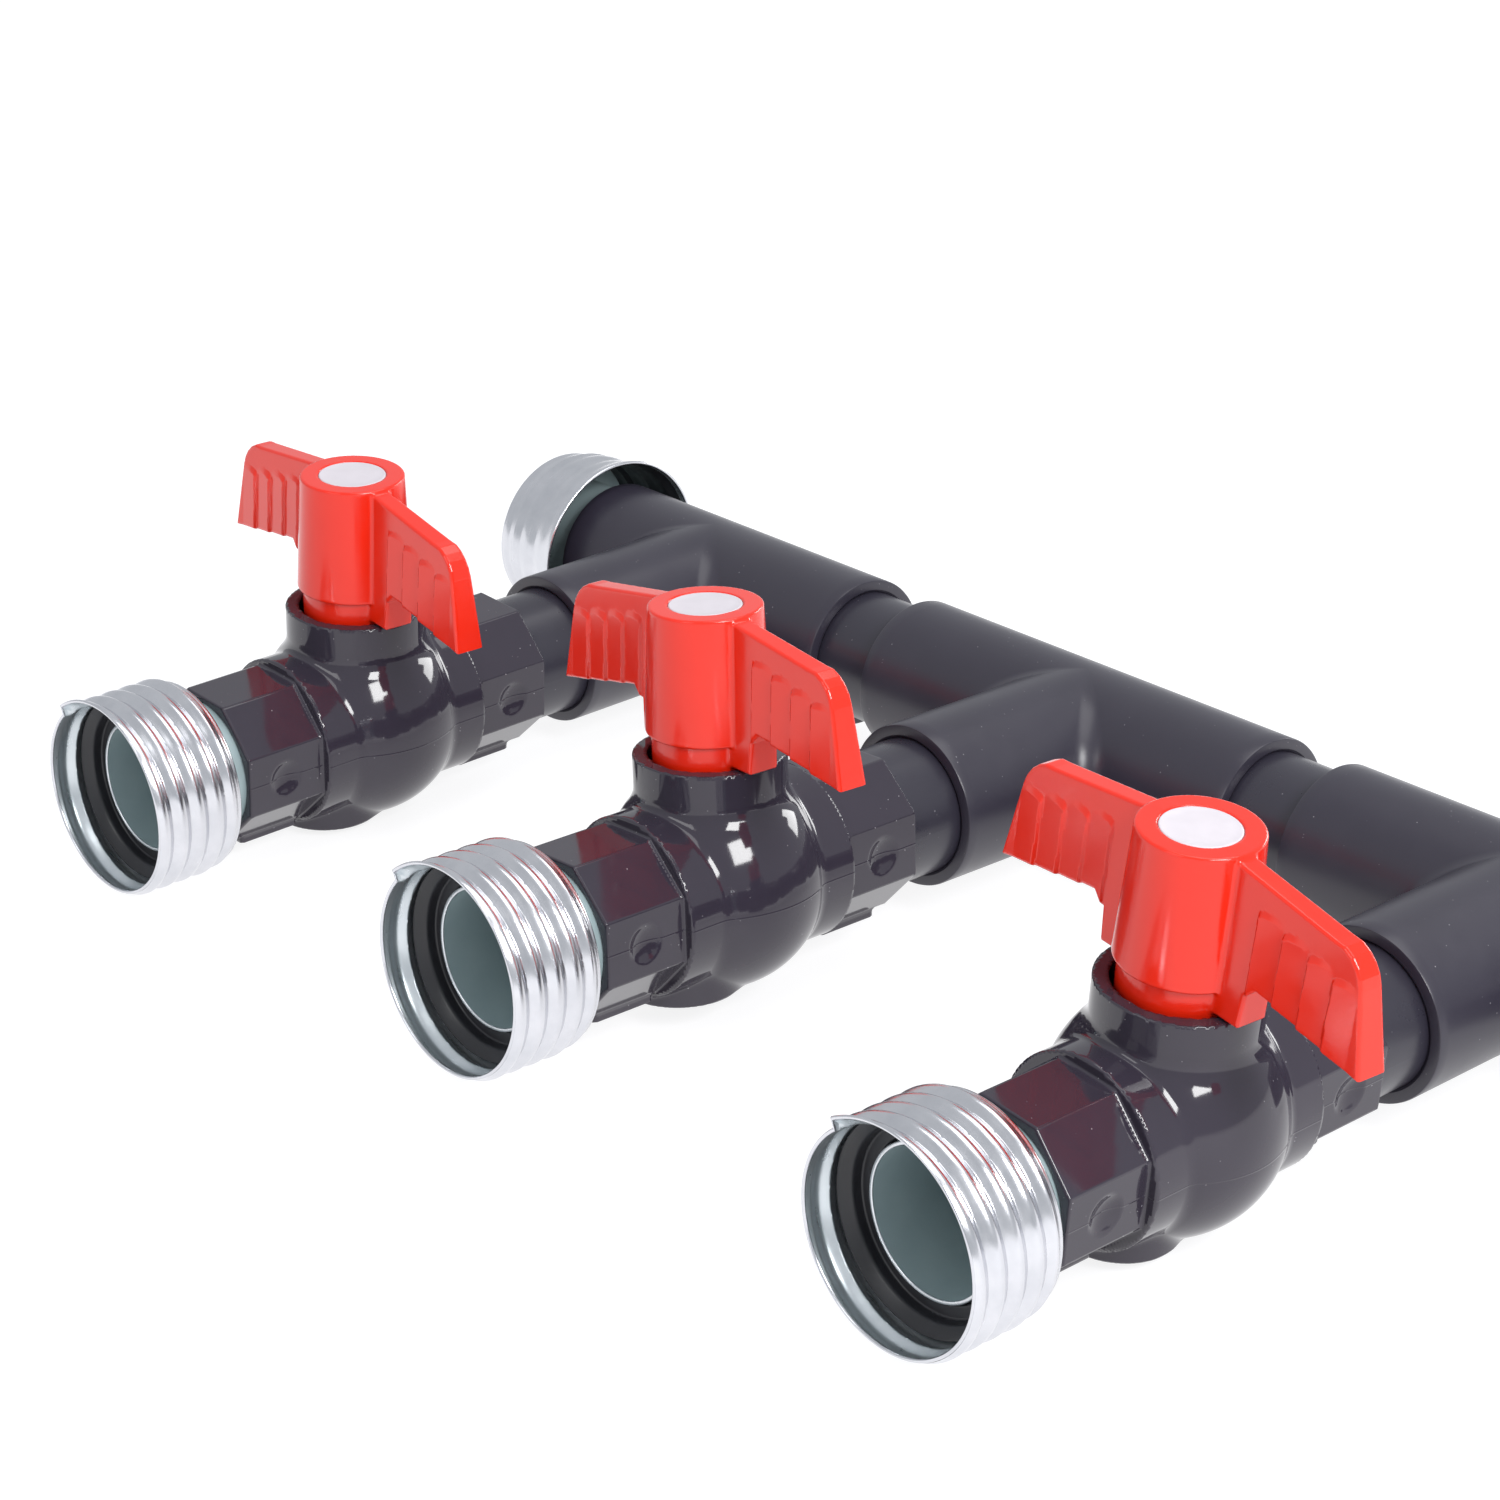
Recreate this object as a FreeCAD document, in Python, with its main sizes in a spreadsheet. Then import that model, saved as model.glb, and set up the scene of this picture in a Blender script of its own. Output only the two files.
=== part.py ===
import FreeCAD
import Part
import Sketcher
import os
from FreeCAD import Vector, Rotation, Placement

# Three-way valve manifold: three PVC-U tees in a row, a compact ball valve on each branch,
# a rolled-thread steel coupling nut on each outlet and one threaded sleeve at the inlet end.
# The origin is the centre of the middle tee: X runs along the header, branches point to -Y.

doc = FreeCAD.newDocument("three_way_valve")
sheet = doc.addObject("Spreadsheet::Sheet", "Sizes")
sheet.Label = "Sizes"

SIZES = [
    # driving sizes; a text value is a formula worked out from them
    ("PipeRadius", 20.0, "outside radius of the d40 pipe and of the steel outlet tube"),
    ("Pitch", 167.0, "centre distance between branches"),
    ("StemReach", 146.9, "header axis to valve stem axis"),
    ("BallRadius", 25.0, "ball"),
    ("StemRadius", 7.0, "stem shank"),
    # how the tees and valves were turned when they were cemented
    ("TiltA", 0.75, "branch 1 turned about the header, degrees"),
    ("TiltB", -0.9, "branch 2 turned about the header, degrees"),
    ("TiltC", 0.3, "branch 3 turned about the header, degrees"),
    ("SwingA", 0.8, "branch 1 out of square with the header, degrees"),
    ("SwingB", 0.1, "branch 2 out of square with the header, degrees"),
    ("SwingC", -0.7, "branch 3 out of square with the header, degrees"),
    ("RollA", 2.5, "valve 1 turned about its branch, degrees"),
    ("RollB", -3.5, "valve 2 turned about its branch, degrees"),
    ("RollC", 5.0, "valve 3 turned about its branch, degrees"),
    ("ClosedAngle", -4.0, "handle angle at the closed stop, degrees"),
    # pipework
    ("PipeWall", 3.0, "wall of the PVC-U pipe nipples"),
    ("GlueGap", 0.05, "radial gap of every cemented or pressed joint"),
    ("SocketDepth", 26.0, "depth of a tee socket"),
    ("SocketStop", 1.0, "pipe end stops this far short of the socket bottom"),
    ("TeeWall", 4.0, "wall of a tee socket"),
    ("TeeRadius", "PipeRadius + TeeWall", "outside radius of the tees"),
    ("BranchDraft", 0.15, "the branch of a tee is this much slimmer than its run, inside and out"),
    ("TeeHalf", 72.0, "tee centre to each mouth"),
    ("InletLimb", 51.0, "first tee centre to its inlet mouth, a limb that was cut short"),
    ("PlugHead", 6.0, "thickness of the end plug head"),
    # valve body; lengths along the bore are counted from the stem
    ("BodyWall", 5.7, "wall of the bulge around the ball"),
    ("BulgeRadius", "BallRadius + BodyWall", "round middle of the valve body"),
    ("ValveWall", 2.0, "thinnest wall of the octagon sockets"),
    ("FlatHalf", "PipeRadius + ValveWall", "centre to flat of the octagon ends"),
    ("OctLength", 26.5, "length of each octagon end"),
    ("OctStart", "BulgeRadius - 1.2", "inner end of each octagon"),
    ("OctEnd", "OctStart + OctLength", "outer end of each octagon"),
    ("RingRadius", "PipeRadius + 5.3", "round ring between bulge and octagon"),
    ("ValveSocket", 22.0, "depth of the sockets in the valve ends"),
    ("BoreRadius", "0.64 * BallRadius", "free bore through ball, seats and body"),
    ("MarkRadius", 5.6, "round marks on the side flats"),
    ("MarkDepth", 0.8, "depth of the round marks"),
    ("MarkReach", "OctStart + 13.5", "centre of the round marks"),
    ("PadHalf", 9.0, "half width of the pads under the octagons"),
    ("PadDrop", 2.8, "pad thickness below the octagon"),
    ("PadStart", "OctStart + 1.5", "inner end of each pad"),
    ("PadEnd", "OctEnd - 5", "outer end of each pad"),
    ("FootRadius", "0.72 * BallRadius", "round foot under the bulge"),
    ("FootOffset", "0.56 * BallRadius", "foot centre towards the outlet"),
    ("FootDrop", "BulgeRadius - 2.5", "underside of the foot below the bore axis"),
    ("CollarWall", 4.1, "wall of the stem collar"),
    ("CollarRadius", "StemRadius + 14.1", "outside of the stem collar"),
    ("CollarDepth", 6.7, "depth inside the collar"),
    ("CollarFloor", "BulgeRadius - 0.2", "floor inside the collar above the bore axis"),
    ("CollarTop", "CollarFloor + CollarDepth", "top of the stem collar"),
    ("ShoulderTop", "BulgeRadius - 1.2", "top of the cone that carries the collar"),
    ("ShoulderBase", "0.4 * BallRadius", "bottom of the cone that carries the collar"),
    ("ShoulderRadius", "BulgeRadius - 1.7", "radius of the cone at its bottom"),
    ("StopRise", 3.2, "height of the stop segment on the collar"),
    ("StopGap", 0.35, "gap between stop segment and handle lug"),
    # ball, seats and stem
    ("BallGap", 0.3, "gap between ball and body or seats"),
    ("SeatRadius", "0.86 * BallRadius", "outside of the seat rings"),
    ("SeatInner", "0.4 * BallRadius", "inner end of the seat rings"),
    ("SeatEnd", "0.88 * BallRadius", "outer face of the seat rings"),
    ("StemFit", 0.08, "radial running clearance of the stem"),
    ("StemFoot", "BallRadius + 0.2", "underside of the stem shank"),
    ("TangHalf", "0.4 * StemRadius + 0.1", "half thickness of the stem tang"),
    ("TangReach", "0.9 * StemRadius", "half length of the stem tang"),
    ("TangFoot", "BallRadius - 5.1", "underside of the stem tang"),
    ("SlotGap", 0.1, "gap around the tang in the ball slot"),
    ("SquareStart", "CollarTop + 17.8", "bottom of the square on the stem"),
    ("SquareLength", 13.0, "length of that square"),
    ("StemTop", "SquareStart + SquareLength", "top of the stem"),
    ("SquareHalf", "0.68 * StemRadius", "half width of the stem square"),
    ("RingCord", 1.1, "cord radius of the stem O-ring"),
    ("RingHeight", "CollarFloor - 2.6", "height of the stem O-ring"),
    ("ScrewRadius", 2.5, "handle screw shank"),
    ("ScrewHead", "SquareHalf + 1", "handle screw head, wide enough to hold the handle down"),
    ("ScrewHeadRise", 3.2, "handle screw head height"),
    ("ScrewLength", 16.0, "handle screw shank length"),
    # handle
    ("SkirtGap", 1.3, "gap between the handle skirt and the collar"),
    ("SkirtRadius", "CollarRadius - CollarWall - SkirtGap", "skirt that runs down into the collar"),
    ("SkirtFoot", "CollarFloor + 1.1", "bottom of the skirt"),
    ("HubTop", "StemTop + 10.7", "top of the handle hub"),
    ("HubFoot", "CollarTop + 6.2", "bottom of the wide part of the hub"),
    ("HubTopRadius", "SkirtRadius - 0.1", "hub radius at the top"),
    ("HubFootRadius", "SkirtRadius + 1.6", "hub radius at its bottom"),
    ("CapRadius", "HubTopRadius - 5.6", "white cap"),
    ("CapDepth", 3.1, "white cap thickness"),
    ("CapRecess", "CapDepth + 0.1", "depth of the cap recess"),
    ("ScrewWell", "ScrewHead + 0.5", "radius of the screw well under the cap"),
    ("WingTopHalf", 3.0, "half thickness of the wings at the top"),
    ("WingFootHalf", 5.0, "half thickness of the wings at lug level"),
    ("WingRoot", "SkirtRadius - 3.7", "where the wing outline starts inside the hub"),
    ("WingRootTop", "HubTop - 0.8", "top edge of the wing at its root"),
    ("WingShoulder", 47.5, "end of the straight top edge"),
    ("WingShoulderTop", "HubTop - 5.7", "height of the top edge there"),
    ("WingCorner", 10.5, "rounding of the outer top corner"),
    ("WingTip", 61.2, "outer bottom corner of the wing"),
    ("WingTipFoot", "HubFoot - 0.2", "height of the outer bottom corner"),
    ("WingInner", "LugOuter + 3.9", "inner end of the wing's bottom edge"),
    ("WingInnerFoot", "HubFoot + 6.2", "height of the bottom edge there"),
    ("LugOuter", "CollarRadius + 2.5", "outer face of the stop lug"),
    ("LugFoot", "CollarTop + 0.35", "underside of the stop lug"),
    ("LugInner", "SkirtRadius - 2.2", "inner end of the stop lug inside the hub"),
    ("RibFirst", "WingInner - 1", "first grip rib from the stem"),
    ("RibStep", 8.2, "spacing of the grip ribs"),
    ("RibWidth", 1.3, "width of a grip rib"),
    ("RibProud", 0.7, "how far a rib stands off the wing"),
    ("RibTop", "HubTop - 8.2", "top of the first rib"),
    ("RibFall", 1.6, "each rib ends lower than the last by this"),
    ("RibFoot", "HubTop - 28.7", "bottom of the first rib"),
    # outlet coupling
    ("Sheet", 0.8, "steel sheet of the nut"),
    ("NutLength", 29.5, "length of the coupling nut"),
    ("NutBack", "OctEnd + 6.7", "back face of the coupling nut"),
    ("NutMouth", "NutBack + NutLength", "open rim of the coupling nut"),
    ("TubeWall", 1.2, "wall of the outlet tube"),
    ("TubeMouth", "NutBack + 16", "mouth of the outlet tube"),
    ("FlangeRadius", "PipeRadius + 6.8", "flange on the outlet tube"),
    ("FlangeBack", "NutBack + Sheet + 0.3", "back of that flange"),
    ("FlangeThick", 1.6, "thickness of that flange"),
    ("GasketRadius", "FlangeRadius + 0.5", "outside of the gasket"),
    ("GasketGap", 0.3, "gap between the gasket and the nut"),
    ("GasketFront", "NutBack + 19.8", "front edge of the gasket"),
    ("GasketFace", "NutBack + 17.3", "inner edge of the sloping face"),
    ("GasketStep", "PipeRadius + 4", "radius of the step in the gasket"),
    ("GasketSeat", "NutBack + 14.3", "face of the inner step"),
    ("GasketHole", "PipeRadius + 0.3", "hole of the gasket"),
    ("RootRadius", "GasketRadius + GasketGap + Sheet", "thread roots outside"),
    ("CrestRadius", "RootRadius + 1.3", "thread crests outside"),
    ("RimRadius", "RootRadius + 1.6", "open rim of the coupling nut"),
    ("LipRadius", "PipeRadius + 1", "hole in the nut's turned-in back"),
    ("SleeveExtra", 2.6, "the inlet sleeve is this much larger in radius than the nuts"),
    ("SleeveLength", 32.0, "length of the inlet sleeve"),
    ("InletRim", 48.4, "open rim of the inlet sleeve from the first tee centre"),
]

for row, (alias, value, note) in enumerate(SIZES, start=1):
    sheet.set("A%d" % row, alias)
    sheet.set("C%d" % row, note)
    sheet.setAlias("B%d" % row, alias)
for row, (alias, value, note) in enumerate(SIZES, start=1):
    formula = "=" + value if isinstance(value, str) else str(value)
    sheet.set("B%d" % row, formula)
doc.recompute()


def size(alias):
    return float(getattr(sheet, alias))


def bind(obj, prop, text):
    # every capitalised word in a formula is a cell of the sheet
    words = []
    word = ""
    for ch in text + " ":
        if ch.isalnum():
            word += ch
            continue
        words.append("Sizes." + word if word[:1].isupper() else word)
        words.append(ch)
        word = ""
    obj.setExpression(prop, "".join(words).strip())


def put(obj, at):
    for axis, text in zip("xyz", at):
        if text != "0":
            bind(obj, "Placement.Base." + axis, text)
    return obj


TURN = {
    "z": Rotation(),
    "y": Rotation(Vector(1, 0, 0), -90),
    "-y": Rotation(Vector(1, 0, 0), 90),
    "x": Rotation(Vector(0, 1, 0), 90),
    "-x": Rotation(Vector(0, 1, 0), -90),
}


def primitive(kind, name, axis, at, sizes):
    obj = doc.addObject("Part::" + kind, name)
    obj.Placement = Placement(Vector(), TURN[axis])
    for prop, text in sizes.items():
        bind(obj, prop, text)
    return put(obj, at)


def cylinder(name, radius, height, axis="z", at=("0", "0", "0")):
    return primitive("Cylinder", name, axis, at, {"Radius": radius, "Height": height})


def cone(name, low, high, height, axis="z", at=("0", "0", "0")):
    return primitive("Cone", name, axis, at, {"Radius1": low, "Radius2": high, "Height": height})


def ball_shape(name, radius):
    return primitive("Sphere", name, "z", ("0", "0", "0"), {"Radius": radius})


def block(name, length, width, height, at):
    return primitive("Box", name, "z", at, {"Length": length, "Width": width, "Height": height})


def fuse(name, parts):
    obj = doc.addObject("Part::MultiFuse", name)
    obj.Shapes = parts
    return obj


def cut(name, base, tools):
    obj = doc.addObject("Part::Cut", name)
    obj.Base = base
    obj.Tool = tools[0] if len(tools) == 1 else fuse(name + "_tools", tools)
    return obj


def outline(name, corners, turn):
    # closed outline; every corner is held by two distances from the origin
    sketch = doc.addObject("Sketcher::SketchObject", name)
    sketch.Placement = Placement(Vector(), turn)
    marks = []
    for across, up in corners:
        marks.append(Vector(number(across), number(up), 0))
    count = len(marks)
    for i in range(count):
        sketch.addGeometry(Part.LineSegment(marks[i], marks[(i + 1) % count]), False)
    for i in range(count):
        sketch.addConstraint(Sketcher.Constraint("Coincident", i, 2, (i + 1) % count, 1))
    for i, (across, up) in enumerate(corners):
        for word, value, text in (("DistanceX", marks[i].x, across), ("DistanceY", marks[i].y, up)):
            index = sketch.addConstraint(Sketcher.Constraint(word, -1, 1, i, 1, value))
            if any(ch.isupper() for ch in text):
                bind(sketch, "Constraints[%d]" % index, text)
    return sketch


def number(text):
    # the starting value of a formula; the formula itself is bound to the sketch
    sheet.set("E1", "=" + text)
    doc.recompute([sheet])
    value = sheet.get("E1")
    return float(value.Value if hasattr(value, "Value") else value)


UPRIGHT = Rotation(Vector(1, 0, 0), 90)
SIDEWAYS = Rotation(Vector(1, 1, 1), 120)


def spun(name, corners, axis="z", at=("0", "0", "0")):
    # ring or round part: (radius, height) outline turned about its own axis
    sketch = outline(name + "_outline", corners, UPRIGHT)
    obj = doc.addObject("Part::Revolution", name)
    obj.Source = sketch
    obj.Axis = Vector(0, 0, 1)
    obj.Base = Vector(0, 0, 0)
    obj.Angle = 360
    obj.Solid = True
    obj.Placement = Placement(Vector(), TURN[axis])
    return put(obj, at)


def plate(name, corners, thickness, turn, along):
    sketch = outline(name + "_outline", corners, turn)
    obj = doc.addObject("Part::Extrusion", name)
    obj.Base = sketch
    obj.DirMode = "Custom"
    obj.Dir = along
    obj.Solid = True
    obj.Symmetric = True
    bind(obj, "LengthFwd", thickness)
    return obj


SWINGS = ("SwingA", "SwingB", "SwingC")


def swung(name, parts, alias):
    # shapes turned together about Z by an angle from the sheet
    holder = doc.addObject("Part::Compound", name)
    holder.Links = parts
    holder.Placement = Placement(Vector(), Rotation(Vector(0, 0, 1), 1))
    bind(holder, "Placement.Rotation.Angle", alias)
    return holder


def tee_place(i):
    tilt = size(("TiltA", "TiltB", "TiltC")[i - 1])
    return Placement(Vector((i - 2) * size("Pitch"), 0, 0), Rotation(Vector(1, 0, 0), tilt))


def valve_place(i):
    roll = size(("RollA", "RollB", "RollC")[i - 1])
    swing = Placement(Vector(), Rotation(Vector(0, 0, 1), size(SWINGS[i - 1])))
    reach = Placement(Vector(0, -size("StemReach"), 0), Rotation(Vector(0, 1, 0), roll))
    return tee_place(i).multiply(swing).multiply(reach)


def rotor_place(i):
    turn = Placement(Vector(), Rotation(Vector(0, 0, 1), size("ClosedAngle")))
    return valve_place(i).multiply(turn)


NODES = []


def node(obj, name, place):
    obj.Label = name
    obj.Placement = place.multiply(obj.Placement)
    NODES.append((name, obj))
    return obj


def tee(i):
    n = "tee_%d" % i
    left = "InletLimb" if i == 1 else "TeeHalf"
    length = left + " + TeeHalf"
    branch = cylinder(n + "_branch", "TeeRadius - BranchDraft", "TeeHalf", "-y")
    outer = [
        cylinder(n + "_run", "TeeRadius", length, "x", ("-" + left, "0", "0")),
        swung(n + "_branch_swung", [branch], SWINGS[i - 1]),
    ]
    socket = "PipeRadius + GlueGap"
    bore = "PipeRadius - PipeWall"
    branch_bore = cylinder(n + "_branch_bore", bore + " - BranchDraft", "TeeHalf", "-y")
    branch_socket = cylinder(n + "_socket_branch", socket, "SocketDepth", "y", ("0", "-TeeHalf", "0"))
    inner = [
        cylinder(n + "_run_bore", bore, length, "x", ("-" + left, "0", "0")),
        cylinder(n + "_socket_right", socket, "SocketDepth", "-x", ("TeeHalf", "0", "0")),
        cylinder(n + "_socket_left", socket, "SocketDepth", "x", ("-" + left, "0", "0")),
        swung(n + "_bore_swung", [branch_bore], SWINGS[i - 1]),
        swung(n + "_socket_swung", [branch_socket], SWINGS[i - 1]),
    ]
    node(cut(n, fuse(n + "_solid", outer), inner), n, tee_place(i))


def header_nipple(i):
    # pipe piece between tee i and the next tee
    n = "nipple_%d" % i
    reach = "(SocketDepth - SocketStop)"
    length = "Pitch - 2 * TeeHalf + 2 * " + reach
    tube = spun(n, [
        ("PipeRadius - PipeWall", "0"), ("PipeRadius", "0"),
        ("PipeRadius", length), ("PipeRadius - PipeWall", length),
    ], "x")
    start = (i - 2) * size("Pitch") + size("TeeHalf") - size("SocketDepth") + size("SocketStop")
    node(tube, n, Placement(Vector(start, 0, 0), Rotation()))


def end_plug():
    n = "end_plug"
    depth = "SocketDepth - SocketStop"
    plug = spun(n, [
        ("0", "0"), ("PipeRadius", "0"), ("PipeRadius", depth), ("TeeRadius", depth),
        ("TeeRadius", depth + " + PlugHead - 1"), ("TeeRadius - 1", depth + " + PlugHead"),
        ("0", depth + " + PlugHead"),
    ], "x")
    start = size("Pitch") + size("TeeHalf") - size("SocketDepth") + size("SocketStop")
    node(plug, n, Placement(Vector(start, 0, 0), Rotation()))


def branch_nipple(i):
    n = "branch_pipe_%d" % i
    start = "OctEnd - ValveSocket + SocketStop"
    end = "StemReach - TeeHalf + SocketDepth - SocketStop"
    length = "%s - (%s)" % (end, start)
    tube = spun(n, [
        ("PipeRadius - PipeWall", "0"), ("PipeRadius", "0"),
        ("PipeRadius", length), ("PipeRadius - PipeWall", length),
    ], "y", ("0", start, "0"))
    fix(tube, n, valve_place(i))


def fix(obj, name, place):
    # parts whose own position is bound to the sheet ride inside a one-piece compound
    holder = doc.addObject("Part::Compound", name + "_set")
    holder.Links = [obj]
    holder.Label = name
    holder.Placement = place
    obj.Label = name + "_shape"
    NODES.append((name, holder))
    return holder


def rim_profile(depth, extra=""):
    # rolled shell as (radius, height) corners, height counted from the back face
    count = 5
    root, crest, rim = "RootRadius" + extra, "CrestRadius" + extra, "RimRadius" + extra
    outer = [(root + " - 0.6", "0"), (root, "0.7")]
    for k in range(count):
        pitch = "%s / %d" % (depth, count)
        if k:
            outer.append((root, "%s * %.3f" % (pitch, k + 0.08)))
        outer.append((crest, "%s * %.3f" % (pitch, k + 0.36)))
        outer.append((crest, "%s * %.3f" % (pitch, k + 0.64)))
    outer.append((root + " + 0.3", "%s - 0.7" % depth))
    outer.append((rim, depth))
    inner = [("%s - Sheet" % r, h) for r, h in reversed(outer[2:])]
    inner.append((root + " - Sheet", "Sheet"))
    return outer + inner + [("LipRadius", "Sheet"), ("LipRadius", "0")]


def coupling_nut(i):
    n = "coupling_nut_%d" % i
    shell = spun(n, rim_profile("NutLength"), "-y", ("0", "-NutBack", "0"))
    fix(shell, n, valve_place(i))


def gasket(i):
    n = "gasket_%d" % i
    base = "(FlangeBack + FlangeThick)"
    ring = spun(n, [
        ("GasketHole", "0"), ("GasketRadius", "0"), ("GasketRadius", "GasketFront - " + base),
        ("GasketStep", "GasketFace - " + base), ("GasketStep", "GasketSeat - " + base),
        ("GasketHole", "GasketSeat - " + base),
    ], "-y", ("0", "-(FlangeBack + FlangeThick)", "0"))
    fix(ring, n, valve_place(i))


def tube_profile(front, flange):
    # flanged steel tube, heights from its inner end
    return [
        ("PipeRadius - TubeWall", "0"), ("PipeRadius", "0"), ("PipeRadius", flange),
        ("FlangeRadius", flange), ("FlangeRadius", flange + " + FlangeThick"),
        ("PipeRadius", flange + " + FlangeThick"), ("PipeRadius", front),
        ("PipeRadius - TubeWall", front),
    ]


def outlet_tube(i):
    n = "outlet_tube_%d" % i
    start = "(OctEnd - ValveSocket + SocketStop)"
    tube = spun(n, tube_profile("TubeMouth - " + start, "FlangeBack - " + start), "-y",
                ("0", "-" + start, "0"))
    fix(tube, n, valve_place(i))


def valve_body(i):
    n = "valve_body_%d" % i
    grow = [ball_shape(n + "_bulge", "BulgeRadius")]
    dig = [ball_shape(n + "_chamber", "BallRadius + BallGap")]
    for side, axis, sign in (("outlet", "-y", "-"), ("inlet", "y", "")):
        m = n + "_" + side
        eight = primitive("Prism", m + "_octagon", "z", ("0", sign + "OctStart", "0"),
                          {"Circumradius": "FlatHalf / cos(22.5 deg)", "Height": "OctEnd - OctStart"})
        eight.Polygon = 8
        eight.Placement = Placement(Vector(), TURN[axis].multiply(Rotation(Vector(0, 0, 1), 22.5)))
        grow.append(eight)
        grow.append(cylinder(m + "_ring", "RingRadius", "OctStart", axis))
        pad_at = "-PadEnd" if sign else "PadStart"
        grow.append(block(m + "_pad", "2 * PadHalf", "PadEnd - PadStart", "PadDrop + 6",
                          ("-PadHalf", pad_at, "-FlatHalf - PadDrop")))
        dig.append(cylinder(m + "_socket", "PipeRadius + GlueGap", "ValveSocket", axis,
                            ("0", sign + "(OctEnd - ValveSocket)", "0")))
        dig.append(cylinder(m + "_bore", "BoreRadius", "OctEnd", axis))
        dig.append(cylinder(m + "_seat_groove", "SeatRadius + GlueGap", "SeatEnd", axis))
        for face, turned, flip in (("right", "x", ""), ("left", "-x", "-")):
            dig.append(cylinder(m + "_mark_" + face, "MarkRadius", "2", turned,
                                (flip + "(FlatHalf - MarkDepth)", sign + "MarkReach", "0")))
    grow.append(cylinder(n + "_foot", "FootRadius", "FootDrop - ShoulderBase + 2", "z",
                         ("0", "-FootOffset", "-FootDrop")))
    grow.append(cone(n + "_shoulder", "ShoulderRadius", "CollarRadius + 0.4",
                     "ShoulderTop - ShoulderBase", "z", ("0", "0", "ShoulderBase")))
    grow.append(cylinder(n + "_collar", "CollarRadius", "CollarTop - ShoulderBase", "z",
                         ("0", "0", "ShoulderBase")))
    grow.append(stop_segment(n))
    dig.append(cylinder(n + "_collar_well", "CollarRadius - CollarWall", "20", "z",
                        ("0", "0", "CollarFloor")))
    dig.append(cylinder(n + "_stem_hole", "StemRadius + StemFit", "CollarFloor - BoreRadius + 1", "z",
                        ("0", "0", "BoreRadius")))
    node(cut(n, fuse(n + "_solid", grow), dig), n, valve_place(i))


def stop_segment(n):
    # raised part of the collar rim; the lugs meet its two end faces when closed and when open
    ring = cylinder(n + "_stop_ring", "CollarRadius", "StopRise + 2", "z", ("0", "0", "CollarTop - 2"))
    face = "(WingFootHalf + StopGap)"
    open_side = block(n + "_stop_open", "40", "40", "StopRise + 6",
                      ("-40 - " + face, "0", "CollarTop - 4"))
    closed_side = block(n + "_stop_closed", "40", "40", "StopRise + 6",
                        ("-40", face, "CollarTop - 4"))
    turned = swung(n + "_stop_turned", [closed_side], "ClosedAngle")
    corner = doc.addObject("Part::MultiCommon", n + "_stop_segment")
    corner.Shapes = [ring, open_side, turned]
    return corner


def ball(i):
    n = "ball_%d" % i
    slot = "(TangHalf + SlotGap)"
    reach = "(TangReach + SlotGap)"
    tools = [
        cylinder(n + "_bore", "BoreRadius", "2 * BallRadius + 4", "x", ("-BallRadius - 2", "0", "0")),
        block(n + "_slot", "2 * " + reach, "2 * " + slot, "12",
              ("-" + reach, "-" + slot, "TangFoot - SlotGap")),
    ]
    node(cut(n, ball_shape(n + "_solid", "BallRadius"), tools), n, rotor_place(i))


def seat(i, side):
    # ring with a sloping face towards the ball
    n = "seat_%s_%d" % (side, i)
    ring = spun(n + "_ring", [
        ("BoreRadius", "BoreRadius"), ("SeatRadius", "SeatInner"), ("SeatRadius", "SeatEnd"),
        ("BoreRadius", "SeatEnd"),
    ], "-y" if side == "outlet" else "y")
    node(cut(n, ring, [ball_shape(n + "_clear", "BallRadius + BallGap")]), n, valve_place(i))


def stem(i):
    n = "stem_%d" % i
    grow = [
        cylinder(n + "_shank", "StemRadius", "SquareStart - StemFoot", "z", ("0", "0", "StemFoot")),
        block(n + "_tang", "2 * TangReach", "2 * TangHalf", "StemFoot - TangFoot + 1",
              ("-TangReach", "-TangHalf", "TangFoot")),
        block(n + "_square", "2 * SquareHalf", "2 * SquareHalf", "StemTop - SquareStart + 1",
              ("-SquareHalf", "-SquareHalf", "SquareStart - 1")),
    ]
    groove = spun(n + "_groove", [
        ("StemRadius - 2 * RingCord", "RingHeight - RingCord - GlueGap"),
        ("StemRadius + 1", "RingHeight - RingCord - GlueGap"),
        ("StemRadius + 1", "RingHeight + RingCord + GlueGap"),
        ("StemRadius - 2 * RingCord", "RingHeight + RingCord + GlueGap"),
    ])
    hole = cylinder(n + "_hole", "ScrewRadius + GlueGap", "ScrewLength + 5", "z",
                    ("0", "0", "StemTop - ScrewLength - 2"))
    node(cut(n, fuse(n + "_solid", grow), [groove, hole]), n, rotor_place(i))


def stem_ring(i):
    n = "stem_ring_%d" % i
    ring = primitive("Torus", n, "z", ("0", "0", "RingHeight"),
                     {"Radius1": "StemRadius - RingCord", "Radius2": "RingCord"})
    fix(ring, n, rotor_place(i))


def handle_screw(i):
    n = "handle_screw_%d" % i
    screw = spun(n, [
        ("0", "0"), ("ScrewRadius", "0"), ("ScrewRadius", "ScrewLength"),
        ("ScrewHead", "ScrewLength"), ("ScrewHead", "ScrewLength + ScrewHeadRise - 1"),
        ("ScrewHead - 1", "ScrewLength + ScrewHeadRise"), ("0", "ScrewLength + ScrewHeadRise"),
    ], "z", ("0", "0", "StemTop - ScrewLength"))
    fix(screw, n, rotor_place(i))


def handle_cap(i):
    n = "handle_cap_%d" % i
    cap = spun(n, [
        ("0", "0"), ("CapRadius", "0"), ("CapRadius", "CapDepth - 0.3"),
        ("CapRadius - 0.3", "CapDepth"), ("0", "CapDepth"),
    ], "z", ("0", "0", "HubTop - CapDepth"))
    fix(cap, n, rotor_place(i))


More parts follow.
